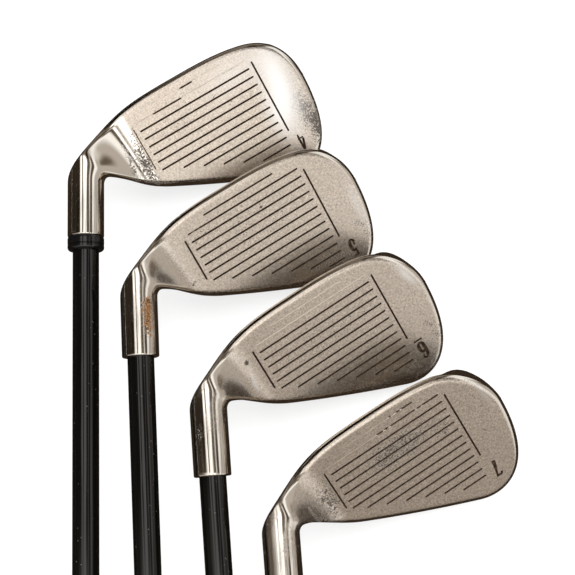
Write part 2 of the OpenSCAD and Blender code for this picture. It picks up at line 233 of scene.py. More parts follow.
def edge_drop(d, r):
    """Depth that a rounded edge of radius r takes off at a distance d from the rim:
    r minus the height of a quarter circle there."""
    d = np.clip(d, 0, r)
    return r - np.sqrt(np.maximum(r * r - (r - d)**2, 0))


def rounded(before, v, after, r, n):
    """n points round the corner v between its neighbours, on a circle of radius r that touches
    both sides. r shrinks where a side is short. On a straight line the points spread along it."""
    a, b = unit(before - v), unit(after - v)
    half = np.arccos(np.clip(dot(a, b), -1, 1)) / 2
    room = SIDE_SHARE * np.minimum(np.linalg.norm(before - v, axis=-1, keepdims=True),
                                   np.linalg.norm(after - v, axis=-1, keepdims=True))
    r = np.minimum(r, room * np.tan(half))[:, None]
    middle, side = unit(a + b)[:, None], unit(a - b)[:, None]
    half = half[:, None]
    share = np.linspace(1, -1, n)[None, :, None]
    turn = (np.pi / 2 - half) * share
    along = r * np.sin(turn)
    along = np.where(np.abs(along) < 0.25 * np.abs(share), 0.25 * share, along)
    return v[:, None] + middle * r * (1 / np.sin(half) - np.cos(turn)) + side * along


def between(a, b, n):
    """n points evenly inside the lines from a to b."""
    t = (np.arange(1, n + 1) / (n + 1))[None, :, None]
    return mix(a[:, None], b[:, None], t)


def nearest_on(points, line, values):
    """Distance of each 2D point to a polyline, and the polyline's values where it is nearest."""
    a, step = line[:-1], line[1:] - line[:-1]
    size = np.maximum((step**2).sum(1), 1e-12)
    found, carried = [], []
    for part in np.array_split(points, max(1, len(points) // 3000)):
        rel = part[:, None] - a
        t = np.clip((rel * step).sum(2) / size, 0, 1)
        gap = np.linalg.norm(rel - t[..., None] * step, axis=2)
        k = gap.argmin(1)
        t = t[np.arange(len(part)), k][:, None]
        found.append(gap[np.arange(len(part)), k])
        carried.append(mix(values[k], values[k + 1], t))
    return np.concatenate(found), np.concatenate(carried)


# ---- one club: its numbers and its place ----

class Club:
    """Numbers of one iron in millimetres and radians, and the way from its own frame to the row.

    Head frame: X towards the toe, Y towards the target, Z up, ground at Z = 0, and the shaft
    axis through the origin."""

    def __init__(self, i):
        scene = bpy.context.scene
        head, lines, long = scene.iron_head, scene.iron_lines, scene.iron_shaft
        self.i, self.number = i, FIRST_NUMBER + i
        for group in (head, lines, long):
            for key in group.bl_rna.properties.keys():
                if key not in ("rna_type", "name"):
                    value = getattr(group, key)
                    is_angle = group.bl_rna.properties[key].unit == "ROTATION"
                    setattr(self, key, value if is_angle else value / MM)
        self.loft += i * self.loft_step
        self.lie += i * self.lie_step
        self.toe_x = self.blade_len + i * self.blade_step
        self.knee = self.knee_h + i * self.knee_step
        self.shoulder = self.shoulder_h + i * self.shoulder_step
        self.rim_at = self.hosel_len + i * self.hosel_step
        self.total = self.club_len - i * self.len_step
        self.butt_at = self.total - self.cap_t
        self.tip_at = self.rim_at - self.bore_depth + 0.5
        self.mouth_at = self.total - self.grip_len
        self.score_at = self.start - i * self.start_step
        self.score_h = self.height + i * self.height_step
        self.shaft_dir = np.array([-math.cos(self.lie), 0, math.sin(self.lie)])
        self.across_dir = np.array([math.sin(self.lie), 0, math.cos(self.lie)])
        self.out = np.array([0, math.cos(self.loft), math.sin(self.loft)])
        self.pivot = CROTCH_AT * self.shaft_dir + (self.hosel_d / 2 + self.crotch_r) * self.across_dir
        self.top_slope = (self.shoulder - self.knee) / (SHOULDER_X - KNEE_X)
        self.corner_rise = CORNER_SHARE * self.camber
        self._find_place()

    def _find_place(self):
        """The turn that takes the shaft's and the face's directions to those of the mounts,
        and the ground point, which lies a club's length from the vent hole."""
        mounts = {m["name"]: m for m in frame["record"]["mounts"]}
        vent = mounts[f"grip_vent_iron_{self.number}"]
        face = mounts[f"face_iron_{self.number}"]
        s, n = unit(np.array(vent["axis"])), unit(np.array(face["axis"]))
        here = np.column_stack([self.shaft_dir, self.out, np.cross(self.shaft_dir, self.out)])
        there = np.column_stack([s, n, np.cross(s, n)])
        self.turn = there @ np.linalg.inv(here)
        middle = self.total - (self.cap_t - FIT_GAP) / 2
        self.ground = np.array(vent["pos_m"]) / MM - s * middle

    def place(self, points):
        """Head-frame points in millimetres to row-frame points in metres."""
        return (points @ self.turn.T + self.ground) * MM

    def body(self):
        return f"club_{self.number}"

    def circles(self, radius, height, a):
        """Points at a radius from the shaft axis, a height along it and an angle round it from
        the heel side."""
        return (height[:, None, None] * self.shaft_dir
                - (radius * np.cos(a))[..., None] * self.across_dir
                + (radius * np.sin(a))[..., None] * np.array([0, 1, 0]))

    def shaft_place(self, p):
        """(across, forward, along) the shaft axis for head-frame points."""
        return np.stack([p @ self.across_dir, p[:, 1], p @ self.shaft_dir], -1)

    def on_face(self, u, v, n=0.0):
        """Point u along the ground, v up the face and n out of it."""
        u, v, n = np.broadcast_arrays(u, v, n)
        p = np.stack([u, self.lead - v * math.sin(self.loft), v * math.cos(self.loft)], -1)
        return p + self.out * n[..., None]

    def over_face(self, p):
        """The point of the face plane at the same distance along the head and height."""
        return np.stack([p[:, 0], self.lead - p[:, 2] * math.tan(self.loft), p[:, 2]], -1)

    def face_place(self, p):
        """(u, v, n) of head-frame points: the way back from on_face."""
        y = p[:, 1] - self.lead
        sin, cos = math.sin(self.loft), math.cos(self.loft)
        return np.stack([p[:, 0], p[:, 2] * cos - y * sin, y * cos + p[:, 2] * sin], -1)


# ---- head: outline and ribs ----

# Height of the crotch's centre along the shaft axis
CROTCH_AT = 21.6
# Distances along X: the topline's knee and shoulder, and the lowest place and the end of the sole
KNEE_X, SHOULDER_X, LOW_X, SOLE_END_X = 15.9, 55, 35, 63
# Heights: the sole at the crotch and at its toe end, and the crown of the topline
HEEL_RISE, SOLE_END_RISE, TOPLINE_CROWN = 6.3, 1.8, 0.5
# Slopes of the topline at the crotch and of the sole at both ends, and the pull of the toe's curves
CROTCH_SLOPE, HEEL_SLOPE, TOE_SLOPE, TOE_PULL = 0.95, -0.52, 0.2, 9
# Height of the toe's tip, and how far the second pull points of its two curves stand above the
# shoulder and above the sole's end
TOE_MID_H, TOE_MID_STEP = 25, 0.75
TOE_TOP_REACH, TOE_LOW_REACH, TOE_LOW_REACH_STEP = 2.8, 8.5, 2.2
# Share of the camber by which the corner between face and sole stands higher
CORNER_SHARE = 0.6
# Where the cavity opens and closes along X, and the length of its end walls
CAVITY_HEEL_X, CAVITY_TOE_X, CAVITY_WALL = 19, 66, 2.5
# Length along the head that the neck's ribs cover, and a distance that stands for no toe near
NECK_ARC, FAR = 17, 99
# Where neck turns into blade, from the crotch: start low and high on the rib, end, and the shares
# of the way that the soft start and end take
TURN_FROM, CROTCH_TURN_FROM, TURN_TO, RAMP_START, RAMP_END = -5, -2.5, 11.6, 0.35, 0.4
# Share of the sole's width at the heel, where it starts to widen and is full, and how far past
# the sole's end its back takes to turn with the toe
HEEL_NARROW, HEEL_X, FULL_X, TOE_TURN = 0.72, -2, 28, 13
# Where ribs stop standing upright and start to lean towards the toe
BRIDGE_X = 48
NECK_RINGS, BLADE_RINGS, BRIDGE_RINGS, TOE_RINGS = 40, 72, 14, 64
EDGE_POINTS, FACE_POINTS, UNDER_POINTS, SOLE_POINTS = 14, 42, 8, 20
# How far along the toe's curves the last rib stands
LAST_TOE_SHARE = 0.992
# Rings and rounds over which neck and blade are softened, and the radius at the neck's low end
SOFT_REACH, SOFT_PASSES, NECK_END_R = 13, 40, 1.5
# Share of a rib that the rim and, short of the toe, the radius of an edge may take
EDGE_SHARE = 0.2
# Corners behind the face, from the topline's back down to the trailing edge: (radius, points,
# points on the line before it, where that line and the corner sit on the round neck in degrees)
CORNERS = ((1.2, 7, 3, (156, 168), (170, 206)), (0.6, 4, 3, (208, 215), (217, 227)),
           (0.8, 4, 3, (229, 235), (237, 247)), (1.5, 6, 10, (248, 257), (258, 270)),
           (1.5, 6, 4, (272, 280), (282, 302)), (2.0, 9, 4, (304, 310), (312, 342)))
# Where the sole and the leading edge sit on the round neck, in degrees
SOLE_SPAN, UNDER_FROM = (343.5, 373), 374.5
# Where the front does, as shares of the neck's width, and the chord and inset it is spread by
FRONT_FROM, FRONT_SPAN, TYPICAL_CHORD, CORNER_INSET = 0.09, 0.86, 25.0, 0.9


def topline(c, x):
    """Height of the topline up the face: a crowned line from the knee to the shoulder, and a
    cubic from the crotch to the knee."""
    t = (x - KNEE_X) / (SHOULDER_X - KNEE_X)
    crown_slope = 4 * TOPLINE_CROWN / (SHOULDER_X - KNEE_X)
    heel = hermite(x, c.pivot[0], (c.pivot[2] - c.crotch_r) / math.cos(c.loft), CROTCH_SLOPE,
                   KNEE_X, c.knee, c.top_slope + crown_slope)
    return np.where(x > KNEE_X, mix(c.knee, c.shoulder, t) + 4 * TOPLINE_CROWN * t * (1 - t), heel)


def sole_corner(c, x):
    """Height up the face of the sharp corner between face and sole: two cubics that meet at the
    sole's lowest place, raised by part of the camber."""
    low = np.where(x < LOW_X,
                   hermite(x, c.pivot[0], HEEL_RISE, HEEL_SLOPE, LOW_X, 0, 0),
                   hermite(x, LOW_X, 0, 0, SOLE_END_X, SOLE_END_RISE, TOE_SLOPE))
    return (low + c.corner_rise) / math.cos(c.loft)


def ribs(c):
    """Ribs from the hosel to the toe, as rows of: top point, low point, distance along the head
    from the crotch, distance to the toe's tip. The neck's ribs fan round the crotch's centre,
    the blade's stand upright, and the toe's join two Bezier curves that meet at its tip."""
    t = np.linspace(0, 1, NECK_RINGS)[:, None]
    a = c.lie * (1 - t)
    fan = np.hstack([-np.sin(a), 0 * a, -np.cos(a)])
    start = c.pivot - (c.crotch_r + c.hosel_d) * c.across_dir
    end = np.array([c.pivot[0], 0, HEEL_RISE + c.corner_rise])
    way = np.linalg.norm(end - start) * 0.3
    low = bezier([start, start - way * c.shaft_dir, end - way * unit(np.array([1, 0, HEEL_SLOPE])),
                  end], t)
    top = [c.over_face(c.pivot + c.crotch_r * fan)]
    bottom = [c.over_face(low)]
    along = [NECK_ARC * (t[:, 0] - 1)]

    x_top = np.linspace(c.pivot[0], BRIDGE_X, BLADE_RINGS)[1:]
    s = np.linspace(0, 1, BRIDGE_RINGS)[1:-1]
    x_low = np.concatenate([x_top, mix(BRIDGE_X, SOLE_END_X, s)])
    x_top = np.concatenate([x_top, mix(BRIDGE_X, SHOULDER_X, s)])
    top.append(c.on_face(x_top, topline(c, x_top)))
    bottom.append(c.on_face(x_low, sole_corner(c, x_low)))
    along.append(x_top - c.pivot[0])

    t = np.linspace(0, LAST_TOE_SHARE, TOE_RINGS)[:, None]
    tip = np.array([c.toe_x, TOE_MID_H + c.i * TOE_MID_STEP])
    one = np.array([SHOULDER_X, c.shoulder])
    two = np.array([SOLE_END_X, float(sole_corner(c, np.array(float(SOLE_END_X))))])
    over = bezier([one, one + TOE_PULL * np.array([1, c.top_slope]),
                   np.array([tip[0], c.shoulder + TOE_TOP_REACH]), tip], t)
    under = bezier([two, two + TOE_PULL * np.array([1, TOE_SLOPE]),
                    np.array([tip[0], two[1] + TOE_LOW_REACH + c.i * TOE_LOW_REACH_STEP]), tip], t)
    top.append(c.on_face(over[:, 0], over[:, 1]))
    bottom.append(c.on_face(under[:, 0], under[:, 1]))
    along.append(over[:, 0] - c.pivot[0])
    to_tip = np.full(sum(map(len, along)), float(FAR))
    to_tip[-TOE_RINGS:] = c.toe_x - (over[:, 0] + under[:, 0]) / 2
    return np.vstack(top), np.vstack(bottom), np.concatenate(along), to_tip


def blade_share(along, start):
    """How far the shape has turned from the round hosel into the blade, 0 to 1: a slow
    quadratic start, a straight ramp and a short quadratic fillet into the flat face."""
    t = np.clip((along - start) / (TURN_TO - start), 0, 1)
    m = 1 / (1 - RAMP_START / 2 - RAMP_END / 2)
    return np.where(t < RAMP_START, m * t * t / (2 * RAMP_START),
                    np.where(t < 1 - RAMP_END, m * (t - RAMP_START / 2),
                             1 - m * (1 - t)**2 / (2 * RAMP_END)))


def stretch_at(ends, up):
    """How much longer the way to the outline is along a rib than straight across it, from the
    angle between the rib and the outline, at most 4 times."""
    flow = unit(np.gradient(ends, axis=0))
    square = np.abs(up[:, 0] * flow[:, 1] - up[:, 1] * flow[:, 0])
    return 1 / np.clip(square, 0.25, 1)[:, None]


def soften(rings, centre):
    """Rings moved towards the mean of their two neighbours, many times: fully at one ring, where
    neck and blade meet, and less and less away from it."""
    away = (np.arange(len(rings)) - centre) / SOFT_REACH
    share = np.exp(-away**2)[:, None, None]
    for _ in range(SOFT_PASSES):
        rings = mix(rings, (np.roll(rings, 1, 0) + np.roll(rings, -1, 0)) / 2, share)
    return rings


class HeadForm:
    """All rings of a head, and its outline up the face."""

    def __init__(self, c):
        self.c = c
        top, low, along, to_tip = ribs(c)
        self.top_uv, self.low_uv = c.face_place(top)[:, :2], c.face_place(low)[:, :2]
        blade, turns = self._blade_rings(top, low, along, to_tip), self._turns()
        round_rings = self._round_rings(top, low, along, turns)
        share = blade_share(along[:, None], mix(TURN_FROM, CROTCH_TURN_FROM, (1 - np.cos(turns)) / 2))
        body = mix(round_rings, blade, share[..., None])
        tube = self._tube_rings(turns)
        self.rings = soften(np.concatenate([tube, body]), len(tube) + NECK_RINGS - 1)

    def _blade_rings(self, top, low, along, to_tip):
        """Blade section at every rib. The front is the face plane lowered by edge_drop at the
        true distance to the outline; the rest is a polygon with rounded corners."""
        c = self.c
        chord = np.linalg.norm(top - low, axis=1, keepdims=True)
        up = (top - low) / chord
        n = c.out
        toeward = smooth((low[:, :1] - SOLE_END_X) / TOE_TURN)
        width = ((c.sole_w + c.i * c.sole_step)
                 * mix(HEEL_NARROW, 1, smooth((low[:, :1] - HEEL_X) / (FULL_X - HEEL_X))))
        back = mix(np.array([0, -1, 0]) * width, -n * (c.topline_w + 1.5), toeward)
        tip_drop = edge_drop(to_tip, c.top_r)[:, None]
        trailing = (low + back * (1 - tip_drop / (c.topline_w + 2))
                    + up * mix(c.camber / 2, 0, toeward))
        belly = mix(low, trailing, 0.45) - up * mix(c.camber, 0.2, toeward)

        # the corner between face and sole: its angle, and how far in from it the edge stands
        sole_way = unit(belly - low)
        corner_angle = np.arccos(np.clip(dot(sole_way, up), -1, 1))
        room = np.where(to_tip < FAR, FAR, EDGE_SHARE * chord[:, 0])[:, None]
        r_low = np.minimum(mix(c.lead_r, c.top_r, toeward), room)
        inset = np.maximum(r_low / np.tan(corner_angle / 2) - r_low, 0)
        toe = slice(-TOE_RINGS, None)
        inset[toe] = inset[-TOE_RINGS] * smooth(to_tip[toe] / to_tip[-TOE_RINGS])[:, None]
        r_top = np.minimum(c.top_r, room)
        up_uv = unit(self.top_uv - self.low_uv)
        stretch_low = stretch_at(self.low_uv, up_uv)
        stretch_top = stretch_at(self.top_uv, up_uv)
        self.outline = np.vstack([self.top_uv, self.low_uv[::-1]])
        self.edges = np.vstack([np.hstack([0 * r_top, r_top]), np.hstack([inset, r_low])[::-1]])

        # the front: rounding zones at both ends and the flat face between
        phi = np.linspace(0, np.pi / 2, EDGE_POINTS)[None]
        rise = 1 - np.cos(phi)
        from_low = (inset + r_low * rise) * stretch_low
        from_top = r_top * rise * stretch_top
        fit_low = np.minimum(1, SIDE_SHARE * chord / from_low[:, -1:])
        fit_top = np.minimum(1, SIDE_SHARE * chord / from_top[:, -1:])
        from_low, from_top = from_low * fit_low, from_top * fit_top
        inner = (np.arange(1, FACE_POINTS + 1) / (FACE_POINTS + 1))[None]
        flat = mix(from_low[:, -1:], chord - from_top[:, -1:], inner)
        reach = np.hstack([from_low, flat, (chord - from_top)[:, ::-1]])
        uv = self.low_uv[:, None] + up_uv[:, None] * reach[..., None]
        gap, edge = nearest_on(uv.reshape(-1, 2), self.outline, self.edges)
        drop = edge_drop(gap - edge[:, 0], edge[:, 1]).reshape(reach.shape)
        front = low[:, None] + up[:, None] * reach[..., None] - n * drop[..., None]

        # under the leading edge, on to the sole's direction
        bend = r_low * stretch_low * fit_low
        end_angle = np.arctan2(np.cos(corner_angle), np.sin(corner_angle) * bend / r_low)
        beta = (end_angle * np.linspace(1, 0, UNDER_POINTS + 1)[None])[..., None]
        centre = front[:, :1] + (up * bend)[:, None]
        under = (centre - up[:, None] * bend[:, None] * np.cos(beta)
                 - n * r_low[:, None] * np.sin(beta))[:, :-1]

        # topline's back, rim, cavity and trailing edge
        topline_back = top - n * (c.topline_w - tip_drop) - up * 0.5
        lip = np.minimum(c.rim_w, EDGE_SHARE * chord)
        rim_inner = topline_back - up * lip + n * 0.2
        back_height = np.linalg.norm(rim_inner - trailing, axis=1, keepdims=True)
        muscle_back = mix(trailing, rim_inner, np.minimum(0.34, 8 / back_height))
        x = (along + c.pivot[0])[:, None]
        is_open = (smooth((x - CAVITY_HEEL_X) / CAVITY_WALL)
                   * smooth((CAVITY_TOE_X - x) / CAVITY_WALL))
        cavity_top = mix(mix(rim_inner, muscle_back, 0.08), top - up * (lip + 2.2) - n * c.face_t,
                         is_open)
        cavity_low = mix(mix(rim_inner, muscle_back, 0.8), low + up * c.muscle_h - n * c.face_t,
                         is_open)
        corners = [front[:, -1], topline_back, rim_inner, cavity_top, cavity_low, muscle_back,
                   trailing, belly]
        pieces = [front]
        for before, corner, after, (radius, count, between_count, _, _) in zip(
                corners, corners[1:], corners[2:], CORNERS):
            curve = rounded(before, corner, after, radius, count)
            pieces += [between(pieces[-1][:, -1], curve[:, 0], between_count), curve]
        start, end = pieces[-1][:, -1], under[:, 0]
        third = np.linalg.norm(end - start, axis=1, keepdims=True) / 3
        t = (np.arange(1, SOLE_POINTS + 1) / (SOLE_POINTS + 1))[None, :, None]
        sole = bezier([start[:, None], (start + unit(belly - trailing) * third)[:, None],
                       (end + sole_way * third)[:, None], end[:, None]], t)
        return np.concatenate(pieces + [sole, under], axis=1)

    def _turns(self):
        """Where each point of the blade's section sits on a round one, in radians round it from
        the heel side: on the front by its share of a typical chord, then in even steps."""
        c = self.c
        rise = 1 - np.cos(np.linspace(0, np.pi / 2, EDGE_POINTS))
        inner = np.arange(1, FACE_POINTS + 1) / (FACE_POINTS + 1)
        share = np.concatenate([
            (CORNER_INSET + c.lead_r * rise) / TYPICAL_CHORD,
            mix((CORNER_INSET + c.lead_r) / TYPICAL_CHORD, 1 - c.top_r / TYPICAL_CHORD, inner),
            1 - (c.top_r * rise / TYPICAL_CHORD)[::-1]])
        front = np.degrees(np.arccos(1 - 2 * (FRONT_FROM + FRONT_SPAN * share)))
        turns = [front]
        for _, count, between_count, line_span, bend_span in CORNERS:
            turns += [np.linspace(*line_span, between_count), np.linspace(*bend_span, count)]
        turns.append(np.linspace(*SOLE_SPAN, SOLE_POINTS))
        turns.append(np.linspace(UNDER_FROM, 360 + front[0], UNDER_POINTS + 1)[:-1])
        return np.radians(np.concatenate(turns))

    def _round_rings(self, top, low, along, turns):
        """The hosel carried on as a straight bar about the shaft axis, drawn out towards the
        topline: at each point as thick as the bar is at that distance from the axis,
        and rounded off at the low end by a radius that grows along the neck."""
        c, r = self.c, self.c.hosel_d / 2
        top, low = top * [1, 0, 1], low * [1, 0, 1]
        p = mix(low[:, None], top[:, None], ((1 - np.cos(turns)) / 2)[None, :, None])
        off = p @ c.across_dir
        reach = np.maximum(top @ c.across_dir, r)[:, None]
        thick = r * np.sqrt(np.clip(1 - (off / np.where(off > 0, reach, r))**2, 0, 1))
        end_r = 0.001 + NECK_END_R * np.clip(along / NECK_ARC + 1, 0, 1)[:, None]
        inside = np.clip(np.linalg.norm(p - low[:, None], axis=-1) / end_r, 0, 1)
        p[..., 1] = thick * np.sqrt(inside * (2 - inside)) * np.sign(np.sin(turns))
        return p

    def _tube_rings(self, turns):
        """Bore, rim and tube of the hosel: circles of a profile of (radius, height)."""
        c = self.c
        r, bore, rim = c.hosel_d / 2, c.tip_d / 2 + FIT_GAP, c.rim_at
        profile = [(bore, rim - c.bore_depth), (bore, rim - c.bore_depth * 0.6),
                   (bore, rim - 6), (bore, rim - 1), (bore, rim - 0.3), (bore + 0.1, rim - 0.08),
                   (bore + 0.3, rim), (r - 0.5, rim), (r - 0.2, rim - 0.12), (r - 0.04, rim - 0.32),
                   (r, rim - 0.6)]
        profile += [(r, h) for h in np.linspace(rim - 1.5, CROTCH_AT + 0.5, 16)]
        profile = np.array(profile)
        return c.circles(profile[:, :1], profile[:, 1], turns[None])


# ---- head: scorelines and number ----

# Scorelines count up from the sole: line 0 is short, those up to FULL_SCORES are full, and the
# others start further in, along the topline
SCORES, FULL_SCORES = 14, 7
# Start and end of line 0
LOW_SCORE = (8.4, 37.7)
# Start of the first short upper line, how much less on each next club, and how far the two side
# lines stand out from the full lines' ends
SHORT_IN, SHORT_IN_STEP, SIDE_OUT = 7.3, 1, 1.8
# Ends of the side lines, as scoreline numbers
SIDE_FROM, HEEL_SIDE_TO, TOE_SIDE_TO = 1.4, 6.6, 10.5
# Depth of the numbers, and what their strokes' half widths are multiplied by
NUMBER_DEPTH, NUMBER_BOLD = 0.34, 1.75
# Cross-section of a cutter: shares of its half width, with shares of its depth below the face
# (negative) or millimetres above it (positive)
CUTTER_SECTION = ((-1.25, 0.5), (-0.72, -0.62), (-0.35, -1), (0.35, -1), (0.72, -0.62), (1.25, 0.5))
# Worn scorelines: for each iron and line, (from, to, share of the full depth, how ragged)
WORN = {
    4: {0: [(0, 99, 0.22, 0.1), (36.5, 41.5, 0.7, 0.3)],
        1: [(0, 99, 0.26, 0.2), (24, 34.5, 0.75, 0.3)]},
    5: {0: [(0, 99, 0.85, 0.35)], 1: [(0, 26, 0.6, 0.55)]},
    6: {0: [(0, 99, 0.17, 0.05)], 1: [(0, 99, 0.2, 0.1)]},
    7: {0: [(0, 99, 0.14, 0.1), (42, 54, 0.6, 0.9)],
        1: [(0, 36, 0.16, 0.1), (36, 99, 0.75, 0.75)]},
}
# Width and depth of the heel's side line, as a share of a full line's
HEEL_SIDE_WEAR = {4: 0.55, 5: 1, 6: 1, 7: 0.9}
# Strokes of the numbers, as (right, up, half width) from the lower left, in millimetres
NUMBERS = {
    4: ((68.5, 43.0), [
        [(1.72, 6.2, .30), (1.1, 4.2, .30), (.45, 1.9, .28)],
        [(.22, 1.55, .19), (1.2, 1.5, .17), (2.5, 1.65, .17)],
        [(1.74, 6.2, .30), (1.93, 4.0, .29), (1.95, .5, .27)],
        [(1.6, .32, .16), (1.75, .32, .33), (1.9, .32, .37), (2.05, .32, .33), (2.2, .32, .16)]]),
    5: ((68.5, 43.3), [
        [(.66, 6.55, .27), (1.4, 6.42, .25), (2.3, 6.52, .28)],
        [(.8, 6.7, .27), (.76, 5.4, .25), (.84, 4.0, .22)],
        [(.9, 4.2, .18), (1.4, 4.68, .28), (1.95, 4.35, .40), (2.2, 3.2, .46), (2.1, 1.7, .44),
         (1.62, .55, .34), (.95, .38, .28), (.45, .95, .30), (.38, 1.7, .30)],
        [(.25, 2.25, .16), (.42, 2.25, .33), (.6, 2.25, .38), (.78, 2.25, .33), (.95, 2.25, .16)]]),
    6: ((68.6, 44.2), [
        [(2.3, 5.9, .24), (2.0, 6.65, .28), (1.4, 6.95, .28), (.8, 6.4, .36), (.44, 4.9, .44),
         (.4, 2.6, .47), (.6, 1.1, .42), (1.25, .35, .30)],
        [(1.05, 3.5, .16), (1.4, 4.1, .24), (2.0, 4.0, .32), (2.42, 3.1, .42), (2.46, 1.9, .44),
         (2.2, .85, .38), (1.65, .36, .30), (1.2, .36, .28)],
        [(1.78, 5.6, .16), (1.95, 5.6, .33), (2.12, 5.6, .37), (2.3, 5.6, .33), (2.46, 5.6, .16)],
        [(-.15, -.85, .23), (1.5, -.85, .22), (3.25, -.85, .23)]]),
    7: ((67.8, 45.5), [
        [(.28, 5.75, .28), (.55, 6.5, .31), (1.0, 6.72, .30), (1.8, 6.66, .28), (2.75, 6.8, .30)],
        [(2.4, 6.75, .20), (1.95, 4.7, .28), (1.45, 2.4, .43), (1.15, .1, .50)]]),
}


def ragged(x, seed):
    """Even-looking wobble between 0 and 1: the mean of three sines, the same on every run."""
    wave = np.sin(x * 2.3 + seed * 1.7) + np.sin(x * 5.1 + seed * 4.1) + np.sin(x * 8.9 + seed * 2.9)
    return np.clip(0.5 + wave / 4, 0, 1)


def swept_cutter(c, path, half, depth):
    """Closed solid swept along a path on the face: CUTTER_SECTION scaled by the half width and
    the depth at each of the path's points, and closed at both ends."""
    flow = unit(np.gradient(path, axis=0))
    side = np.stack([-flow[:, 1], flow[:, 0]], -1)
    across = np.array([s for s, _ in CUTTER_SECTION])[None]
    level = np.array([n for _, n in CUTTER_SECTION])[None]
    uv = path[:, None] + side[:, None] * (half[:, None] * across)[..., None]
    n = np.where(level > 0, level, level * depth[:, None])
    return c.on_face(uv[..., 0], uv[..., 1], n)


def end_taper(way, half):
    """Half width near the ends of a cut with round ends: a half circle of that radius."""
    near = np.clip(np.minimum(way - way[0], way[-1] - way) / half, 0.02, 1)
    return half * np.sqrt(near * (2 - near))


def scoreline_cutters(c):
    """One swept solid for each scoreline and each of the two lines across their ends."""
    def stations(size):
        near = c.width / 2 * np.array([0, 0.12, 0.35, 0.65])
        inner = np.linspace(c.width / 2, size - c.width / 2, max(4, int(size / 1.1)))
        return np.concatenate([near, inner, size - near[::-1]])

    solids = []
    for k in range(SCORES):
        first = (LOW_SCORE[0] if k == 0 else 0 if k <= FULL_SCORES else
                 SHORT_IN - c.i * SHORT_IN_STEP + (k - FULL_SCORES - 1) * c.pitch / c.top_slope)
        last = LOW_SCORE[1] if k == 0 else c.full
        u = c.score_at + first + stations(last - first)
        share = np.ones_like(u)
        for start, stop, level, rough in WORN[c.number].get(k, []):
            inside = (u >= start) & (u <= stop)
            share = np.where(inside, level * (1 - rough * ragged(u, k + c.i)), share)
        half = end_taper(u, c.width / 2)
        path = np.stack([u, np.full_like(u, c.score_h + k * c.pitch)], -1)
        solids.append(swept_cutter(c, path, half, c.depth * share * half / half.max()))
    sides = ((c.score_at - SIDE_OUT, HEEL_SIDE_TO, HEEL_SIDE_WEAR[c.number]),
             (c.score_at + c.full + SIDE_OUT, TOE_SIDE_TO, 1))
    for u, stop, share in sides:
        v = c.score_h + SIDE_FROM * c.pitch + stations((stop - SIDE_FROM) * c.pitch)
        half = end_taper(v, c.width / 2)
        path = np.stack([np.full_like(v, u), v], -1)
        solids.append(swept_cutter(c, path, half * share, c.depth * share * half / half.max()))
    return solids


def number_cutters(c):
    """One swept solid for each stroke of the club's number, which reads with the sole down."""
    (right, low), strokes = NUMBERS[c.number]
    solids = []
    for stroke in strokes:
        line = through(stroke, 8 * len(stroke))
        path = np.stack([right - line[:, 0], low + line[:, 1]], -1)
        depth = np.full(len(line), NUMBER_DEPTH)
        solids.append(swept_cutter(c, path, line[:, 2] * NUMBER_BOLD, depth))
    return solids


# ---- meshes ----

def new_mesh(name, points, faces):
    """A mesh from points and faces."""
    mesh = bpy.data.meshes.new(name)
    mesh.from_pydata(points, [], faces)
    mesh.update()
    return mesh


def new_object(name, data):
    """An object in the scene, at the origin."""
    thing = bpy.data.objects.new(name, data)
    bpy.context.scene.collection.objects.link(thing)
    return thing


def quad_volume(points, quads):
    """Six times the volume under a surface of quads, each split in two: triple products."""
    a, b, d, e = (points[quads[:, k]] for k in range(4))
    return (np.cross(a, b) * d).sum() + (np.cross(a, d) * e).sum()


def grid_mesh(name, grids):
    """One mesh from grids of points [rings, around, 3]: quads between rings, closed around, and
    a flat cap at each end. A grid that has come out inside out is turned the right way."""
    verts, faces, start = [], [], 0
    for grid in grids:
        rings, around = grid.shape[:2]
        index = np.arange(rings * around).reshape(rings, around)
        here, there = index[:-1], index[1:]
        quads = np.stack([here, there, np.roll(there, -1, 1), np.roll(here, -1, 1)], -1).reshape(-1, 4)
        flat = grid.reshape(-1, 3) - grid.reshape(-1, 3).mean(0)
        caps = [(np.cross(end, np.roll(end, -1, 0)) @ end.mean(0)).sum()
                for end in (flat[index[0]], flat[index[-1]])]
        first, last = index[0], index[-1][::-1]
        if quad_volume(flat, quads) + caps[0] - caps[1] < 0:
            quads, first, last = quads[:, ::-1], first[::-1], last[::-1]
        faces += (quads + start).tolist() + [(first + start).tolist(), (last + start).tolist()]
        verts.append(grid.reshape(-1, 3))
        start += rings * around
    return new_mesh(name, np.vstack(verts), faces)


def loop_mesh(name, grid):
    """A mesh from one grid of points that closes both ways, such as a turned tube."""
    rings, around = grid.shape[:2]
    index = np.arange(rings * around).reshape(rings, around)
    there = np.roll(index, -1, 0)
    quads = np.stack([index, np.roll(index, -1, 1), np.roll(there, -1, 1), there], -1).reshape(-1, 4)
    points = grid.reshape(-1, 3)
    if quad_volume(points - points.mean(0), quads) < 0:
        quads = quads[:, ::-1]
    return new_mesh(name, points, quads.tolist())


def coordinates(mesh):
    """A mesh's points, one to a row."""
    flat = np.empty(3 * len(mesh.vertices))
    mesh.vertices.foreach_get("co", flat)
    return flat.reshape(-1, 3)


def add_attribute(mesh, name, values):
    """A number or a vector for each vertex, which the materials read."""
    kind, key = ("FLOAT", "value") if values.ndim == 1 else ("FLOAT_VECTOR", "vector")
    layer = mesh.attributes.new(name, kind, "POINT")
    layer.data.foreach_set(key, values.astype(np.float32).ravel())


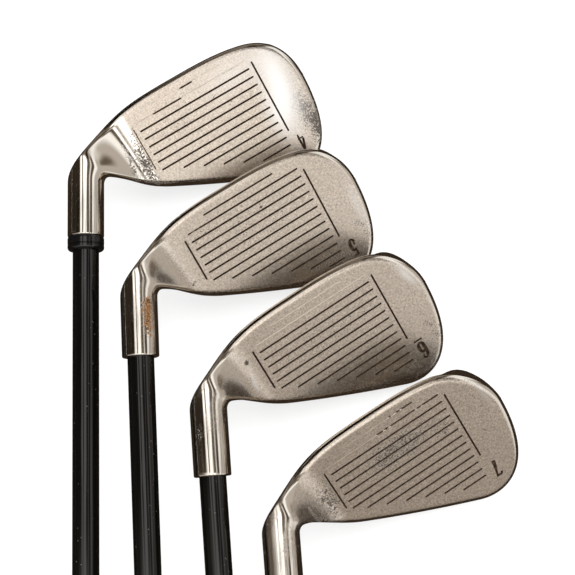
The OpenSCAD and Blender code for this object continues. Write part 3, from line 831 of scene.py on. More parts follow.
def finish_piece(name, mesh, material, club, nodes, sharp=35):
    """Puts a finished mesh into the scene, smooth but for edges sharper than an angle, riding
    on its club and standing for its CAD nodes."""
    piece = new_object(name, mesh)
    mesh.materials.clear()
    mesh.materials.append(material)
    mesh.polygons.foreach_set("use_smooth", np.ones(len(mesh.polygons), bool))
    mesh.set_sharp_from_angle(angle=math.radians(sharp))
    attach(piece, club.body())
    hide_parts(*nodes)


def cut(mesh, layers):
    """The mesh with layers of closed solids taken away one after the other. Solids in one layer
    don't touch, so each layer is a plain Boolean."""
    block = new_object("head blank", mesh)
    tools = []
    for layer in layers:
        tool = new_object("cutter", grid_mesh("cutter", layer))
        modifier = block.modifiers.new("cut", "BOOLEAN")
        modifier.operation, modifier.solver, modifier.object = "DIFFERENCE", "MANIFOLD", tool
        tools.append(tool)
    bpy.context.view_layer.update()
    graph = bpy.context.evaluated_depsgraph_get()
    result = bpy.data.meshes.new_from_object(block.evaluated_get(graph), depsgraph=graph)
    for thing in [block] + tools:
        old = thing.data
        bpy.data.objects.remove(thing)
        bpy.data.meshes.remove(old)
    return result


# ---- materials ----

def fill(tree, socket, value):
    """Links a socket to another, or sets its own value; a colour may come without its alpha."""
    if isinstance(value, bpy.types.NodeSocket):
        tree.links.new(value, socket)
    else:
        socket.default_value = value if socket.type != "RGBA" else (*value, 1.0)[:4]


class Shader:
    """A node material under construction. Each call adds a node and gives back its output."""

    def __init__(self, name):
        self.material = bpy.data.materials.new(name)
        self.material.use_nodes = True
        self.tree = self.material.node_tree
        self.surface = self.tree.nodes["Principled BSDF"]

    def node(self, kind, values=(), **settings):
        """A node with its settings, and its inputs filled in order: a socket is linked, None is
        left alone and anything else is set."""
        made = self.tree.nodes.new(kind)
        for key, value in settings.items():
            setattr(made, key, value)
        for socket, value in zip(made.inputs, values):
            if value is not None:
                fill(self.tree, socket, value)
        return made

    def attribute(self, name, output="Fac"):
        return self.node("ShaderNodeAttribute", attribute_name=name).outputs[output]

    def place(self):
        return self.node("ShaderNodeTexCoord").outputs["Object"]

    def math(self, operation, a, b, clamp=False):
        return self.node("ShaderNodeMath", (a, b), operation=operation, use_clamp=clamp).outputs[0]

    def span(self, value, low, high, to_low=0.0, to_high=1.0, kind="SMOOTHSTEP"):
        """A value carried from one range to another, held at the ends."""
        return self.node("ShaderNodeMapRange", (value, low, high, to_low, to_high),
                         interpolation_type=kind).outputs["Result"]

    def axis(self, vector, name):
        return self.node("ShaderNodeSeparateXYZ", (vector,)).outputs[name]

    def times(self, a, b):
        return self.math("MULTIPLY", a, b)

    def stretch(self, vector, scale):
        """The vector with each axis scaled, so that a pattern runs along the least scaled one."""
        return self.node("ShaderNodeMapping", (vector, None, None, scale)).outputs[0]

    def named(self, kind, **values):
        """A node whose inputs are filled by name."""
        made = self.node(kind)
        for key, value in values.items():
            fill(self.tree, made.inputs[key], value)
        return made

    def noise(self, vector, scale, detail=2.0, rough=0.5, distortion=0.0):
        return self.named("ShaderNodeTexNoise", Vector=vector, Scale=scale, Detail=detail,
                          Roughness=rough, Distortion=distortion).outputs["Fac"]

    def cells(self, vector, scale):
        return self.named("ShaderNodeTexVoronoi", Vector=vector, Scale=scale).outputs["Distance"]

    def blend(self, share, a, b):
        """Colour a where the share is 0 and b where it is 1."""
        made = self.node("ShaderNodeMix", data_type="RGBA")
        for key, value in (("Factor", share), (6, a), (7, b)):
            fill(self.tree, made.inputs[key], value)
        return made.outputs[2]

    def bump(self, height, strength, distance):
        return self.named("ShaderNodeBump", Strength=strength, Distance=distance,
                          Height=height).outputs["Normal"]

    def set(self, **values):
        """Fills the surface's sockets, with spaces for underscores."""
        for key, value in values.items():
            fill(self.tree, self.surface.inputs[key.replace("_", " ")], value)
        return self.material

    def show(self, shader):
        """Puts a shader other than the surface's on the material's output."""
        self.tree.links.new(shader, self.tree.nodes["Material Output"].inputs["Surface"])
        return self.material


def shade(tone, share):
    """A colour made darker, or lighter, by a share."""
    return tuple(v * share for v in tone)


def steel_material():
    """Cast stainless steel: a blasted satin face, polished edges, neck and hosel, dirt in the
    cuts, speckled wear, and rust where a head has it, with painted highlights on the toes and a
    patch of painted shade on one face. It reads the head's own attributes."""
    f = bpy.context.scene.iron_finishes
    s = Shader("iron_steel")
    where = s.attribute("face_place", "Vector")
    along = s.attribute("shaft_place", "Vector")
    level = s.axis(where, "Z")
    polish = s.attribute("polish")
    patina = s.attribute("patina")
    rust = s.attribute("rust")
    shine = s.attribute("shine")
    inside = s.attribute("inside")

    # fine blasted grain and a wormy mottling, from 0.2 to 1 mm across
    grain = s.noise(where, 1.35, 3.0, 0.65, 0.6)
    worm = s.noise(where, 0.85, 2.0, 0.5, 2.2)
    cloud = s.noise(where, 0.09)
    satin_tone = s.blend(s.span(grain, 0.34, 0.66), shade(f.satin, 0.72), shade(f.satin, 1.2))
    satin_tone = s.blend(s.span(worm, 0.32, 0.44, 0.5, 0.0), satin_tone, shade(f.satin, 0.5))
    satin_tone = s.blend(s.span(cloud, 0.35, 0.65, 0.25, 0.0), satin_tone, shade(f.satin, 0.84))

    # polished steel, with streaks that run along the shaft
    streak = s.noise(s.stretch(along, (2.2, 2.2, 0.05)), 1.0, 3.0, 0.65)
    fine = s.noise(s.stretch(along, (7.0, 7.0, 0.25)), 1.0)
    on_hosel = s.span(s.axis(along, "Z"), 20.0, 30.0)
    worn_streak = s.times(s.span(streak, 0.38, 0.62, 1.0, 0.0), on_hosel)
    bright_tone = s.blend(worn_streak, shade(f.steel, 1.1), shade(f.steel, 0.6))
    tone = s.blend(polish, satin_tone, bright_tone)

    # dark specks of worn steel, which crowd together where the attribute is high; over iron 5's
    # topline they are painted shade
    speck = s.cells(where, 0.85)
    dots = s.times(s.span(speck, 0.10, 0.36, 1.0, 0.0),
                   s.span(s.noise(where, 0.4, 2.0, 0.6), 0.45, 0.6))
    clump = s.times(s.math("SUBTRACT", s.noise(where, 0.55, 2.0, 0.6, 1.0), 0.5), 0.4)
    crowd = s.math("ADD", s.noise(where, 1.6, 3.0, 0.75, 0.4), s.times(patina, 0.34))
    crowd = s.math("ADD", crowd, clump)
    crowd = s.times(s.span(crowd, 0.61, 0.74), s.span(patina, 0.03, 0.12))
    everywhere = s.times(dots, s.span(polish, 0.0, 1.0, 0.5, 0.06))
    dark = s.math("ADD", crowd, everywhere, clamp=True)
    # dark specks in the patina colour; over iron 5's topline they stand for painted shade
    tone = s.blend(dark, tone, f.patina)
    # painted highlights, mostly on the toes, and a few rubbed smears, in the rubbed colour
    tone = s.blend(shine, tone, f.rubbed)

    # dirt lies deep in the cuts; shallow worn cuts keep a bright, rubbed look
    deep = s.span(level, -0.13, -0.08, 1.0, 0.0)
    rubbed = s.span(level, -0.02, -0.05)
    cut_dirt = s.times(deep, inside)
    tone = s.blend(s.times(s.times(rubbed, inside), 0.5), tone, shade(f.satin, 1.2))
    grime = s.blend(s.span(s.noise(where, 0.8), 0.4, 0.75), f.grime, shade(f.grime, 3.2))
    tone = s.blend(cut_dirt, tone, grime)

    flakes = s.math("ADD", s.noise(along, 1.5, 3.0, 0.75, 0.5), s.times(rust, 0.22))
    flakes = s.times(s.span(flakes, 0.57, 0.63), s.span(rust, 0.03, 0.2))
    old_rust = s.span(s.noise(along, 2.4, 2.0, 0.6), 0.50, 0.57)
    tone = s.blend(flakes, tone, s.blend(old_rust, f.rust, shade(f.rust, 0.12)))

    dull = s.math("MAXIMUM", cut_dirt, s.math("MAXIMUM", s.times(dark, 0.85), flakes))
    metal = s.math("SUBTRACT", 1.0, dull, clamp=True)
    satin_rough = s.span(grain, 0.3, 0.7, 0.28, 0.38)
    polished_rough = s.span(streak, 0.3, 0.7, 0.05, 0.11)
    rough = s.node("ShaderNodeMix", (polish, None, satin_rough, polished_rough),
                   data_type="FLOAT").outputs[0]
    rough = s.math("MAXIMUM", rough, s.times(dull, 0.75))
    height = s.times(s.math("ADD", grain, worm), s.span(polish, 0.0, 1.0, 1.0, 0.12))
    height = s.math("SUBTRACT", height, s.times(dark, 0.5))
    height = s.math("ADD", height, s.times(fine, 0.05))
    return s.set(Base_Color=tone, Metallic=metal, Roughness=rough, Specular_IOR_Level=0.15,
                 Normal=s.bump(height, 0.35, 0.00004))


def lacquer_material():
    """Black gloss lacquer over carbon fibre, with faint dust and long fine wipe marks."""
    f = bpy.context.scene.iron_finishes
    s = Shader("iron_lacquer")
    along = s.attribute("shaft_place", "Vector")
    wipe = s.noise(s.stretch(along, (2.2, 2.2, 0.03)), 1.0, 3.0, 0.6)
    dust = s.times(s.span(s.cells(along, 0.55), 0.05, 0.16, 1.0, 0.0),
                   s.span(s.noise(along, 0.2), 0.5, 0.65))
    tone = s.blend(dust, s.blend(s.span(wipe, 0.4, 0.8), f.lacquer, shade(f.lacquer, 2.2)), f.dust)
    rough = s.math("ADD", s.span(wipe, 0.3, 0.8, 0.07, 0.14), s.times(dust, 0.4))
    ripple = s.noise(s.stretch(along, (0.8, 0.8, 0.02)), 1.0)
    return s.set(Base_Color=tone, Roughness=rough, IOR=1.5,
                 Normal=s.bump(ripple, 0.25, 0.0002))


def ferrule_material():
    """Turned black plastic with fine rings round it."""
    f = bpy.context.scene.iron_finishes
    s = Shader("iron_ferrule_plastic")
    along = s.attribute("shaft_place", "Vector")
    rings = s.noise(s.stretch(along, (0.02, 0.02, 5.0)), 1.0, 3.0, 0.6)
    tone = s.blend(s.span(rings, 0.4, 0.7), f.ferrule, shade(f.ferrule, 2.0))
    return s.set(Base_Color=tone, Roughness=s.span(rings, 0.3, 0.7, 0.07, 0.16),
                 Normal=s.bump(rings, 0.2, 0.00005))


def rubber_material(name, level):
    """Matt moulded rubber with a pebbled skin, greyer where hands have worn it."""
    f = bpy.context.scene.iron_finishes
    s = Shader(name)
    along = s.attribute("shaft_place", "Vector")
    pebble = s.noise(along, 2.6, 3.0, 0.6)
    worn = s.noise(along, 0.05, 3.0, 0.55)
    rubber = shade(f.rubber, level)
    tone = s.blend(s.span(worn, 0.32, 0.74, 0.0, 0.6), rubber, shade(rubber, 2.2))
    tone = s.blend(s.span(pebble, 0.55, 0.8, 0.0, 0.35), tone, shade(rubber, 4.0))
    return s.set(Base_Color=tone, Roughness=s.span(worn, 0.32, 0.74, 0.80, 0.70),
                 Specular_IOR_Level=0.35, Normal=s.bump(pebble, 0.4, 0.00012))


def tape_material():
    """Creped paper tape."""
    f = bpy.context.scene.iron_finishes
    s = Shader("iron_grip_tape")
    crepe = s.noise(s.stretch(s.place(), (300, 2200, 300)), 1.0, 3.0, 0.6)
    tone = s.blend(s.span(crepe, 0.35, 0.7), shade(f.tape, 0.8), f.tape)
    return s.set(Base_Color=tone, Roughness=0.85, Normal=s.bump(crepe, 0.4, 0.0001))


def brass_material():
    """Turned brass with fine rings and dull blotches."""
    f = bpy.context.scene.iron_finishes
    s = Shader("iron_tip_brass")
    rings = s.noise(s.stretch(s.place(), (60, 4000, 60)), 1.0)
    blotch = s.noise(s.place(), 500.0)
    tone = s.blend(s.span(blotch, 0.45, 0.7, 0.0, 0.6), f.brass, shade(f.brass, 0.55))
    return s.set(Base_Color=tone, Metallic=1.0, Roughness=s.span(rings, 0.3, 0.7, 0.25, 0.42),
                 Normal=s.bump(rings, 0.2, 0.00005))


def shared(name, make):
    """A material by name, made once."""
    return bpy.data.materials.get(name) or make()


# ---- wear, painted highlights and painted shade on the heads: places in millimetres on the face ----

# Dark and bright patches: (u, v, reach along u, reach along v, turn in degrees, strength). The dark
# ones are specks of worn steel, but for one patch of painted shade on iron 5
PATINA_AND_SHADE = {
    4: [(74, 36, 4.6, 12, -16, 0.55), (75.5, 47, 3.6, 9, -10, 0.5), (50.5, 19.2, 0.6, 0.5, 0, 1.0),
        (46, 14.6, 1.2, 0.5, -20, 0.8), (28, 17, 9, 5, 0, 0.16), (12.0, 24, 2.4, 11, 4, 0.72),
        (6.8, 23, 1.4, 9, 10, 0.5)],
    # Iron 5's first patch, over the topline towards the toe, is painted shade standing for the next
    # head beside it
    5: [(60, 46, 10, 4.5, 15, 0.42), (9.5, 26.3, 2.8, 0.35, -4, 0.7), (39, 19, 22, 12, 0, 0.16),
        (44, 15, 0.5, 0.5, 0, 1.0), (19, 12, 5, 3, 0, 0.2), (74, 42, 3, 6, -20, 0.3)],
    6: [(9.9, 13.6, 0.7, 0.8, 0, 1.6), (40, 21, 20, 8, 0, 0.22), (62, 51, 9, 4, 20, 0.3),
        (74, 43, 3, 7, -10, 0.35), (45, 50, 6, 2, 22, 0.25), (8, 22, 3, 5, 0, 0.16)],
    7: [(9.5, 21, 4.2, 8.0, 0, 0.62), (44, 19, 13, 6, 4, 0.54), (33, 21, 7, 5, 0, 0.34),
        (57, 24, 3.0, 2.2, -35, 0.42), (48, 6.8, 5, 0.8, 0, 0.4), (68, 40, 8, 14, 0, 0.14),
        (3, 22, 0.5, 5.5, -6, 0.7), (72, 20, 5, 10, 0, 0.2)],
}
# Bright patches: mostly painted highlight on the toes, with a few rubbed smears
HIGHLIGHT_AND_SMEAR = {
    4: [(69.5, 24, 5.5, 15, 8, 1.0), (64, 33, 4, 8, 0, 0.5), (57, 11, 14, 7, 0, 0.35)],
    5: [(76, 34, 2.0, 10, 0, 0.35)],
    6: [(75, 19, 1.3, 5, -18, 0.75), (70.5, 53, 2.2, 0.5, -18, 0.7), (8.2, 22, 0.8, 4, 8, 0.4)],
    7: [(76, 20, 1.2, 6, -8, 0.3)],
}
# Rust on the hosels: (height along the shaft, degrees round it from the heel side, reach along
# the shaft in millimetres, reach round it in degrees, turn, strength)
RUST = {
    5: [(24.5, 122, 2.6, 14, 0, 1.0), (29.5, 118, 3.4, 15, 0, 1.1), (34, 122, 2.2, 12, 0, 0.8)],
    6: [(30, 60, 4, 14, 0, 0.12)],
}
# How much each neck is polished, how far from the heel's side line the satin stops, and over
# what length
NECK_POLISH = {4: (1.0, 0.7, 0.5), 5: (0.72, 4.5, 5.0), 6: (0.62, 4.5, 5.0), 7: (0.5, 5.5, 6.0)}


def patches(uv, spots):
    """Sum of soft oval spots: each falls off as exp(-r^2) in its own turned and scaled axes."""
    total = np.zeros(len(uv))
    for u, v, reach_u, reach_v, turn, strength in spots:
        a = math.radians(turn)
        x, y = uv[:, 0] - u, uv[:, 1] - v
        along, across = x * math.cos(a) + y * math.sin(a), y * math.cos(a) - x * math.sin(a)
        total += strength * np.exp(-(along / reach_u)**2 - (across / reach_v)**2)
    return total


def mark_head(mesh, c, form, p):
    """Writes what the steel reads: the place on the face, the place along the shaft, and the
    shares of polish, dark specks with a patch of painted shade, painted highlights with a few
    rubbed smears, and rust."""
    uvn, round_shaft = c.face_place(p), c.shaft_place(p)
    height = round_shaft[:, 2]
    gap, _ = nearest_on(uvn[:, :2], form.outline, form.edges)
    level = uvn[:, 2]
    amount, start, soft = NECK_POLISH[c.number]
    border = c.score_at - SIDE_OUT - start
    front = smooth((level + 1.2) / 0.6)
    near_neck = amount * smooth((border - uvn[:, 0]) / soft)
    hosel = smooth((height - 24) / 8)
    polish = np.maximum.reduce([smooth((2.6 - gap) / 1.2), near_neck, 0.92 * hosel, 1 - front])
    inside = smooth((gap - 3.0) / 0.4) * smooth((uvn[:, 0] - border + 1) / 0.5) * front
    add_attribute(mesh, "face_place", uvn)
    add_attribute(mesh, "shaft_place", round_shaft)
    add_attribute(mesh, "polish", polish)
    add_attribute(mesh, "inside", inside)
    # dark specks with one patch of painted shade, then painted highlights with a few rubbed smears
    add_attribute(mesh, "patina", np.clip(patches(uvn, PATINA_AND_SHADE[c.number]) * front, 0, 1.2))
    add_attribute(mesh, "shine", np.clip(patches(uvn, HIGHLIGHT_AND_SMEAR[c.number]) * front, 0, 1))
    turn = np.degrees(np.arctan2(p[:, 1], -round_shaft[:, 0]))
    rust = patches(np.stack([height, turn], -1), RUST.get(c.number, []))
    add_attribute(mesh, "rust", np.clip(rust * smooth((height - 17) / 5), 0, 1))


# ---- turned pieces ----

def turned_piece(c, name, profile, around, material, nodes, relief=None):
    """A closed profile of (radius, height) swept round the shaft axis and put in its place.
    relief adds to the radius and is worked out from the height and the angle."""
    profile = np.asarray(profile, float)
    a = np.linspace(0, 2 * np.pi, around, endpoint=False)[None]
    radius = np.repeat(profile[:, :1], around, 1)
    if relief is not None:
        radius = radius + relief(profile[:, 1:2], a)
    grid = c.circles(radius, profile[:, 1], a)
    mesh = loop_mesh(name, c.place(grid))
    add_attribute(mesh, "shaft_place", c.shaft_place(grid.reshape(-1, 3)))
    finish_piece(name, mesh, material, c, nodes)


def arc(r, h, radius, first, last, n):
    """Profile points on an arc about (r, h), from one angle to another in degrees."""
    a = np.radians(np.linspace(first, last, n))
    return [(r + radius * math.cos(t), h + radius * math.sin(t)) for t in a]


def shaft_profile(c):
    """Outside of the shaft from tip to butt and back inside, with chamfered ends."""
    taper_from, taper_to = c.tip_at + c.tip_len, c.butt_at - c.butt_len
    tip, butt = c.tip_d / 2, c.butt_d / 2
    outside = [(tip - 0.3, c.tip_at), (tip, c.tip_at + 0.3)]
    outside += [(tip, h) for h in np.linspace(c.tip_at + 8, taper_from - 6, 12)]
    t = np.linspace(0, 1, 24)
    outside += [(mix(tip, butt, x), mix(taper_from, taper_to, x)) for x in t]
    outside += [(butt, h) for h in np.linspace(taper_to + 6, c.butt_at - 1, 14)]
    outside += [(butt, c.butt_at - 0.3), (butt - 0.3, c.butt_at)]
    inside = [(butt - c.wall, c.butt_at), (butt - c.wall, taper_to), (tip - c.wall, taper_from),
              (tip - c.wall, c.tip_at)]
    return outside + inside


# Rings along the grip, enough for its grooves
GRIP_STEPS = 400
# Grooves each way round the grip, the cosine where one starts, its depth, and the height over
# which it goes once round
GROOVES, GROOVE_FROM, GROOVE_DEPTH, GROOVE_PITCH = 16, 0.76, 0.38, 62.0


def grip_profile(c):
    """Outside of the grip from its mouth to the cap, and its bore."""
    bore = c.butt_d / 2 + FIT_GAP + c.tape_t + FIT_GAP
    mouth, below = c.mouth_d / 2, c.grip_d / 2
    rise = [(mouth - 0.6, c.mouth_at), (mouth - 0.2, c.mouth_at + 0.12), (mouth, c.mouth_at + 0.6)]
    h = np.linspace(c.mouth_at + 1.5, c.butt_at - 0.4, GRIP_STEPS)
    t = np.clip((h - c.mouth_at - 12) / (c.butt_at - 8 - c.mouth_at - 12), 0, 1)
    outside = list(zip(mix(mouth, below, t), h))
    return rise + outside + [(below - 0.3, c.butt_at), (bore, c.butt_at),
                             (bore, c.mouth_at + 60), (bore, c.mouth_at)]


def grip_relief(c):
    """Two sets of helical grooves that cross into diamonds, over the gripping length only: deep
    where a cosine of the angle and the height comes close to 1."""
    def relief(h, a):
        way = 2 * np.pi * (h - c.mouth_at) / GROOVE_PITCH
        waves = np.maximum(np.cos(GROOVES * (a + way)), np.cos(GROOVES * (a - way)))
        inside = smooth((h - c.mouth_at - 18) / 2) * smooth((c.butt_at - 14 - h) / 2)
        deep = smooth((waves - GROOVE_FROM) / (1 - GROOVE_FROM))
        return -GROOVE_DEPTH * deep * inside * (h > c.mouth_at + 1)
    return relief


def cap_profile(c):
    """Domed cap with a shallow ring round its vent hole."""
    vent, outer, low, high = c.vent_d / 2, c.cap_d / 2, c.butt_at + FIT_GAP, c.total
    dome = 2.2
    profile = [(vent, low), (outer - 0.3, low), (outer, low + 0.3)]
    profile += arc(outer - dome, high - dome, dome, 0, 90, 10)
    return profile + [(9.2, high), (8.9, high - 0.12), (8.7, high - 0.45), (7.7, high - 0.45),
                      (7.5, high - 0.12), (7.2, high), (vent + 1.2, high),
                      (vent + 0.3, high - 0.03), (vent, high - 0.3)]


def ferrule_profile(c):
    """Ring with a rolled lip at its shaft end."""
    bore, outer, low = c.tip_d / 2 + FIT_GAP, c.hosel_d / 2, c.rim_at + FIT_GAP
    high, lip = c.rim_at + FIT_GAP + c.ferrule_len, 1.2
    profile = [(bore, low), (outer - lip / 3, low), (outer - 0.05, low + lip / 3),
               (outer, low + 0.7), (outer, high - 2.4), (outer - 0.28, high - 2.2),
               (outer - 0.28, high - 2.0), (outer, high - 1.8)]
    profile += arc(outer - lip, high - lip, lip, 0, 90, 9)
    return profile + [(bore + 0.2, high), (bore, high - 0.2)]


# ---- operators ----

def clubs():
    """The four irons, longest first."""
    return [Club(i) for i in range(CLUBS)]


class IRONS_OT_heads(bpy.types.Operator):
    """Builds the four iron heads with their scorelines and numbers"""
    bl_idname = "irons.heads"
    bl_label = "Iron heads"

    def execute(self, context):
        for c in clubs():
            name = f"iron_{c.number}_head_steel"
            form = HeadForm(c)
            strokes = number_cutters(c)
            layers = [scoreline_cutters(c) + strokes[:1]] + [[s] for s in strokes[1:]]
            mesh = cut(grid_mesh(name, [form.rings]), layers)
            points = coordinates(mesh)
            mark_head(mesh, c, form, points)
            mesh.vertices.foreach_set("co", c.place(points).ravel())
            mesh.update()
            mesh.name = name
            finish_piece(name, mesh, shared("iron_steel", steel_material), c,
                         [f"iron_{c.number}_head"], sharp=32)
        return {"FINISHED"}


class IRONS_OT_shafts(bpy.types.Operator):
    """Builds the shafts"""
    bl_idname = "irons.shafts"
    bl_label = "Shafts"

    def execute(self, context):
        for c in clubs():
            turned_piece(c, f"iron_{c.number}_shaft_lacquered", shaft_profile(c), 72,
                         shared("iron_lacquer", lacquer_material), [f"iron_{c.number}_shaft"])
        return {"FINISHED"}


class IRONS_OT_ferrule(bpy.types.Operator):
    """Builds the ferrule of the longest iron"""
    bl_idname = "irons.ferrule"
    bl_label = "Ferrule"

    def execute(self, context):
        c = Club(0)
        turned_piece(c, "iron_4_ferrule_ring", ferrule_profile(c), 96,
                     shared("iron_ferrule_plastic", ferrule_material), ["iron_4_ferrule"])
        return {"FINISHED"}


class IRONS_OT_grips(bpy.types.Operator):
    """Builds the rubber grips and their caps"""
    bl_idname = "irons.grips"
    bl_label = "Grips and caps"

    def execute(self, context):
        for c in clubs():
            rubber = shared("iron_grip_rubber", lambda: rubber_material("iron_grip_rubber", 1.0))
            turned_piece(c, f"iron_{c.number}_grip_rubber", grip_profile(c), 128, rubber,
                         [f"iron_{c.number}_grip"], grip_relief(c))
            cap = shared("iron_cap_rubber", lambda: rubber_material("iron_cap_rubber", 1.3))
            turned_piece(c, f"iron_{c.number}_cap_domed", cap_profile(c), 96, cap,
                         [f"iron_{c.number}_grip_cap"])
        return {"FINISHED"}


class IRONS_OT_inner(bpy.types.Operator):
    """Gives the grip tapes and the tip weights their materials"""
    bl_idname = "irons.inner"
    bl_label = "Tapes and weights"

    def execute(self, context):
        for node, thing in frame["nodes"].items():
            if node.endswith("grip_tape"):
                material = shared("iron_grip_tape", tape_material)
            elif node.endswith("tip_weight"):
                material = shared("iron_tip_brass", brass_material)
            else:
                continue
            if not thing.material_slots:
                thing.data.materials.append(material)
            for slot in thing.material_slots:
                slot.material = material
        return {"FINISHED"}


# ---- stage ----

class StageSizes(bpy.types.PropertyGroup):
    """Where the camera and the floor are."""
    target: FloatVectorProperty(name="Target", description="Point the camera looks at",
                                default=(-0.00263, 0.45625, 0.020), size=3, unit="LENGTH")
    distance: length("Distance", "Camera to target", 524.1)
    tilt: degrees("Tilt", "How far the camera looks down", 79.7)
    turn: degrees("Turn", "How far the camera goes round towards +X", 0.1)
    lens: FloatProperty(name="Lens", description="Focal length in millimetres on 36 mm", default=90.8)
    room: length("Room", "Radius of the surroundings that the steel mirrors", 3000)


# Brightness round the clubs' direction: (degrees from straight up towards +X, level)
ROUND = ((-180, .03), (-32, .03), (-26, 1.5), (-20, 1.7), (-17, .25), (-12, .25), (-9, 1.5),
         (7, 1.8), (12, .14), (24, .12), (27, .9), (30, .9), (34, .08), (44, .10), (48, 1.1),
         (56, 1.1), (64, .5), (92, .5), (99, .2), (118, .25), (123, .04), (180, .04))
# The same before the faces, where steep directions meet only the turn from neck to face
FRONT = ((-180, .1), (-60, .15), (-30, 1.2), (-10, 2.0), (24, 2.1), (27, .5), (31, .4), (33, 1.8),
         (37, 1.8), (39, .08), (44, .08), (47, 1.6), (55, 1.4), (62, .9), (95, .9), (110, .08))
# Brightness over the faces: (how far the direction leans to -Y, level)
OVER = ((0.0, 2.2), (0.30, 2.1), (0.42, 1.6), (0.52, 1.0), (0.63, .55), (0.74, .42), (0.92, .3))
# Share of ROUND that is left over the soles: (how far the direction leans to +Y, share)
BEYOND = ((0.0, 1.0), (.38, 1.0), (.48, .14), (.84, .12), (1.0, .12))
# Tint of what the steel mirrors: (brightness, colour)
WARM = ((0.0, (1.0, 0.74, 0.5)), (0.3, (1.0, 0.88, 0.76)), (0.9, (1.0, 0.985, 0.96)))
WHITE, CARD_TONE, FLOOR_GLOW = (1.0, 1.0, 1.0), (0.035, 0.024, 0.016), 0.73
WORLD_TONE, WORLD_LEVEL = (1.0, 0.985, 0.96), 0.75
# (name, direction from the target, power in watts, diameter in metres)
LAMPS = (("key", (0.25, 0.35, 1.0), 26.0, 1.6), ("fill", (-0.9, -0.5, 0.8), 9.0, 1.2))
LAMP_AWAY = 1.8


def ramp(shader, value, low, high, stops):
    """A colour ramp over a range of values."""
    made = shader.node("ShaderNodeValToRGB")
    share = shader.span(value, low, high, kind="LINEAR")
    shader.tree.links.new(share, made.inputs[0])
    table = made.color_ramp
    while len(table.elements) < len(stops):
        table.elements.new(0.5)
    for element, (at, level) in zip(table.elements, stops):
        element.position = (at - low) / (high - low)
        element.color = (*(level if isinstance(level, tuple) else (level,) * 3), 1)
    return made.outputs[0]


def surroundings_material():
    """Light room for the steel to mirror: bright and dark bands round the clubs' direction, and
    over the faces a fall from bright above to dim in front. Dim parts are the warmer."""
    s = Shader("surroundings")
    ray = s.node("ShaderNodeVectorMath", (s.place(),), operation="NORMALIZE").outputs[0]
    x, y, z = s.node("ShaderNodeSeparateXYZ", (ray,)).outputs
    angle = s.times(s.math("ARCTAN2", x, z), 180 / math.pi)
    front = s.blend(s.span(y, -0.50, -0.40), ramp(s, s.times(y, -1.0), 0.0, 1.0, OVER),
                    ramp(s, angle, -180, 180, FRONT))
    back = ramp(s, angle, -180, 180, ROUND)
    crotch = s.times(s.span(angle, 72, 79), s.span(y, 0.36, 0.46))
    over_toe = s.blend(s.span(y, 0.5, 0.66), s.blend(crotch, back, (0.12, 0.12, 0.12)),
                       (0.9, 0.9, 0.9))
    over_sole = s.math("MAXIMUM", s.times(back, ramp(s, y, 0.0, 1.0, BEYOND)),
                       s.span(y, 0.85, 0.91, 0.0, 0.2))
    back = s.blend(s.span(x, 0.36, 0.5), over_sole, over_toe)
    level = s.blend(s.span(y, -0.14, -0.03), front, back)
    tint = ramp(s, level, 0.0, 1.0, WARM)
    tone = s.node("ShaderNodeVectorMath", (level, tint), operation="MULTIPLY").outputs[0]
    return s.show(s.node("ShaderNodeEmission", (tone, 1.0)).outputs[0])


def floor_material():
    """White floor: it takes the soft shadow from its diffuse part, and glows for the camera."""
    f = bpy.context.scene.iron_finishes
    s = Shader("floor")
    s.set(Base_Color=tuple(f.floor), Roughness=0.9, Specular_IOR_Level=0.0)
    path = s.node("ShaderNodeLightPath").outputs
    seen = s.math("MAXIMUM", path["Is Camera Ray"],
                  s.math("MAXIMUM", path["Is Glossy Ray"], path["Is Transmission Ray"]))
    glow = s.node("ShaderNodeEmission", (WHITE, s.times(seen, FLOOR_GLOW))).outputs[0]
    return s.show(s.node("ShaderNodeAddShader", (s.surface.outputs[0], glow)).outputs[0])


def card_material():
    """Even dark glow."""
    s = Shader("card")
    return s.show(s.node("ShaderNodeEmission", (CARD_TONE, 1.0)).outputs[0])


def staged(name, data):
    """An object of the stage, which isn't part of the clubs."""
    thing = new_object(name, data)
    return thing


def staged_square(name, half, centre, below, material):
    """A level square of the stage, a little below the clubs."""
    corners = [(-half, -half, 0), (half, -half, 0), (half, half, 0), (-half, half, 0)]
    mesh = new_mesh(name, corners, [(0, 1, 2, 3)])
    mesh.materials.append(material)
    plane = staged(name, mesh)
    plane.location = (centre.x, centre.y, CAD_BOX[0][2] - below)
    return plane


def only_mirrored(thing):
    """Leaves an object to be seen in reflections alone: it lights nothing and casts no shadow."""
    for ray in ("camera", "diffuse", "transmission", "shadow", "volume_scatter"):
        setattr(thing, f"visible_{ray}", False)


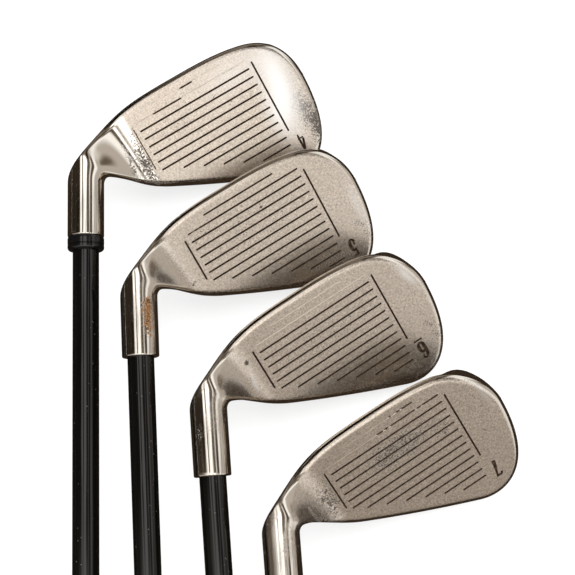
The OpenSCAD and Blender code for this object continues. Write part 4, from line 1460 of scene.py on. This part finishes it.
class IRONS_OT_stage(bpy.types.Operator):
    """Sets up the floor, the light, the surroundings and the camera"""
    bl_idname = "irons.stage"
    bl_label = "Stage"

    def execute(self, context):
        scene = context.scene
        sizes = scene.iron_stage
        scene.view_settings.view_transform = "Standard"
        self._light_world(scene)
        target = Vector(sizes.target)

        staged_square("floor", 1.4 * sizes.room, target, 0.0002, floor_material())

        bpy.ops.mesh.primitive_uv_sphere_add(segments=96, ring_count=48, radius=sizes.room)
        room = context.object
        room.name = "surroundings"
        room.location = (target.x, target.y, 0)
        room.data.materials.append(surroundings_material())
        only_mirrored(room)
        # a dark card that gives the steel its dark edges
        only_mirrored(staged_square("card", sizes.room / 2, target, 0.0001, card_material()))

        for name, way, energy, size in LAMPS:
            light = bpy.data.lights.new(name, "AREA")
            light.energy, light.size, light.shape = energy, size, "DISK"
            lamp = staged(name, light)
            away = Vector(way).normalized()
            lamp.location = target + away * LAMP_AWAY
            lamp.rotation_euler = away.to_track_quat("Z", "Y").to_euler()
            lamp.visible_glossy = False

        tilt, turn = sizes.tilt, sizes.turn
        away = Vector((math.sin(turn) * math.cos(tilt), -math.cos(turn) * math.cos(tilt),
                       math.sin(tilt)))
        data = bpy.data.cameras.new("camera")
        data.lens, data.sensor_width = sizes.lens, 36
        data.clip_start, data.clip_end = 0.01, 50
        camera = staged("camera", data)
        camera.location = target + away * sizes.distance
        camera.rotation_euler = (-away).to_track_quat("-Z", "Y").to_euler()
        scene.camera = camera
        return {"FINISHED"}

    def _light_world(self, scene):
        """A white background for the camera and for reflections, and a plain level of light."""
        world = bpy.data.worlds.new("white")
        world.use_nodes = True
        scene.world = world
        tree = world.node_tree
        tree.nodes.clear()

        def add(kind, *values, **settings):
            made = tree.nodes.new(kind)
            for key, value in settings.items():
                setattr(made, key, value)
            for socket, value in zip(made.inputs, values):
                fill(tree, socket, value)
            return made.outputs

        path = add("ShaderNodeLightPath")
        seen = path["Is Camera Ray"]
        for other in ("Is Glossy Ray", "Is Transmission Ray"):
            seen = add("ShaderNodeMath", seen, path[other], operation="ADD")[0]
        plain = add("ShaderNodeBackground", WORLD_TONE, WORLD_LEVEL)[0]
        white = add("ShaderNodeBackground", WHITE, 1.0)[0]
        add("ShaderNodeOutputWorld", add("ShaderNodeMixShader", seen, plain, white)[0])


# ---- panel and registration ----

class IRONS_PT_panel(bpy.types.Panel):
    """Sizes and steps of the golf irons"""
    bl_idname = "IRONS_PT_panel"
    bl_label = "Golf irons"
    bl_space_type = "VIEW_3D"
    bl_region_type = "UI"
    bl_category = "Golf irons"

    def draw(self, context):
        scene = context.scene
        for label, group, steps in (
                ("Heads", (scene.iron_head, scene.iron_lines), ("irons.heads",)),
                ("Shafts and grips", (scene.iron_shaft,),
                 ("irons.shafts", "irons.ferrule", "irons.grips", "irons.inner")),
                ("Finishes", (scene.iron_finishes,), ()),
                ("Stage", (scene.iron_stage,), ("irons.stage",))):
            box = self.layout.box()
            box.label(text=label)
            for part in group:
                for key in part.bl_rna.properties.keys():
                    if key not in ("rna_type", "name"):
                        box.prop(part, key)
            for step in steps:
                box.operator(step)


GROUPS = {"iron_head": IronHeadSizes, "iron_lines": ScorelineSizes,
          "iron_shaft": ShaftAndGripSizes, "iron_finishes": IronFinishes, "iron_stage": StageSizes}
OPERATORS = (IRONS_OT_heads, IRONS_OT_shafts, IRONS_OT_ferrule, IRONS_OT_grips, IRONS_OT_inner,
             IRONS_OT_stage)


def register():
    for cls in (*GROUPS.values(), *OPERATORS, IRONS_PT_panel):
        bpy.utils.register_class(cls)
    for key, cls in GROUPS.items():
        setattr(bpy.types.Scene, key, PointerProperty(type=cls))


def unregister():
    for key in GROUPS:
        delattr(bpy.types.Scene, key)
    for cls in reversed((*GROUPS.values(), *OPERATORS, IRONS_PT_panel)):
        bpy.utils.unregister_class(cls)


def main():
    register()
    bpy.ops.irons.heads()
    bpy.ops.irons.shafts()
    bpy.ops.irons.ferrule()
    bpy.ops.irons.grips()
    bpy.ops.irons.inner()
    bpy.ops.irons.stage()
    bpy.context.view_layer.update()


if __name__ == "__main__":
    main()
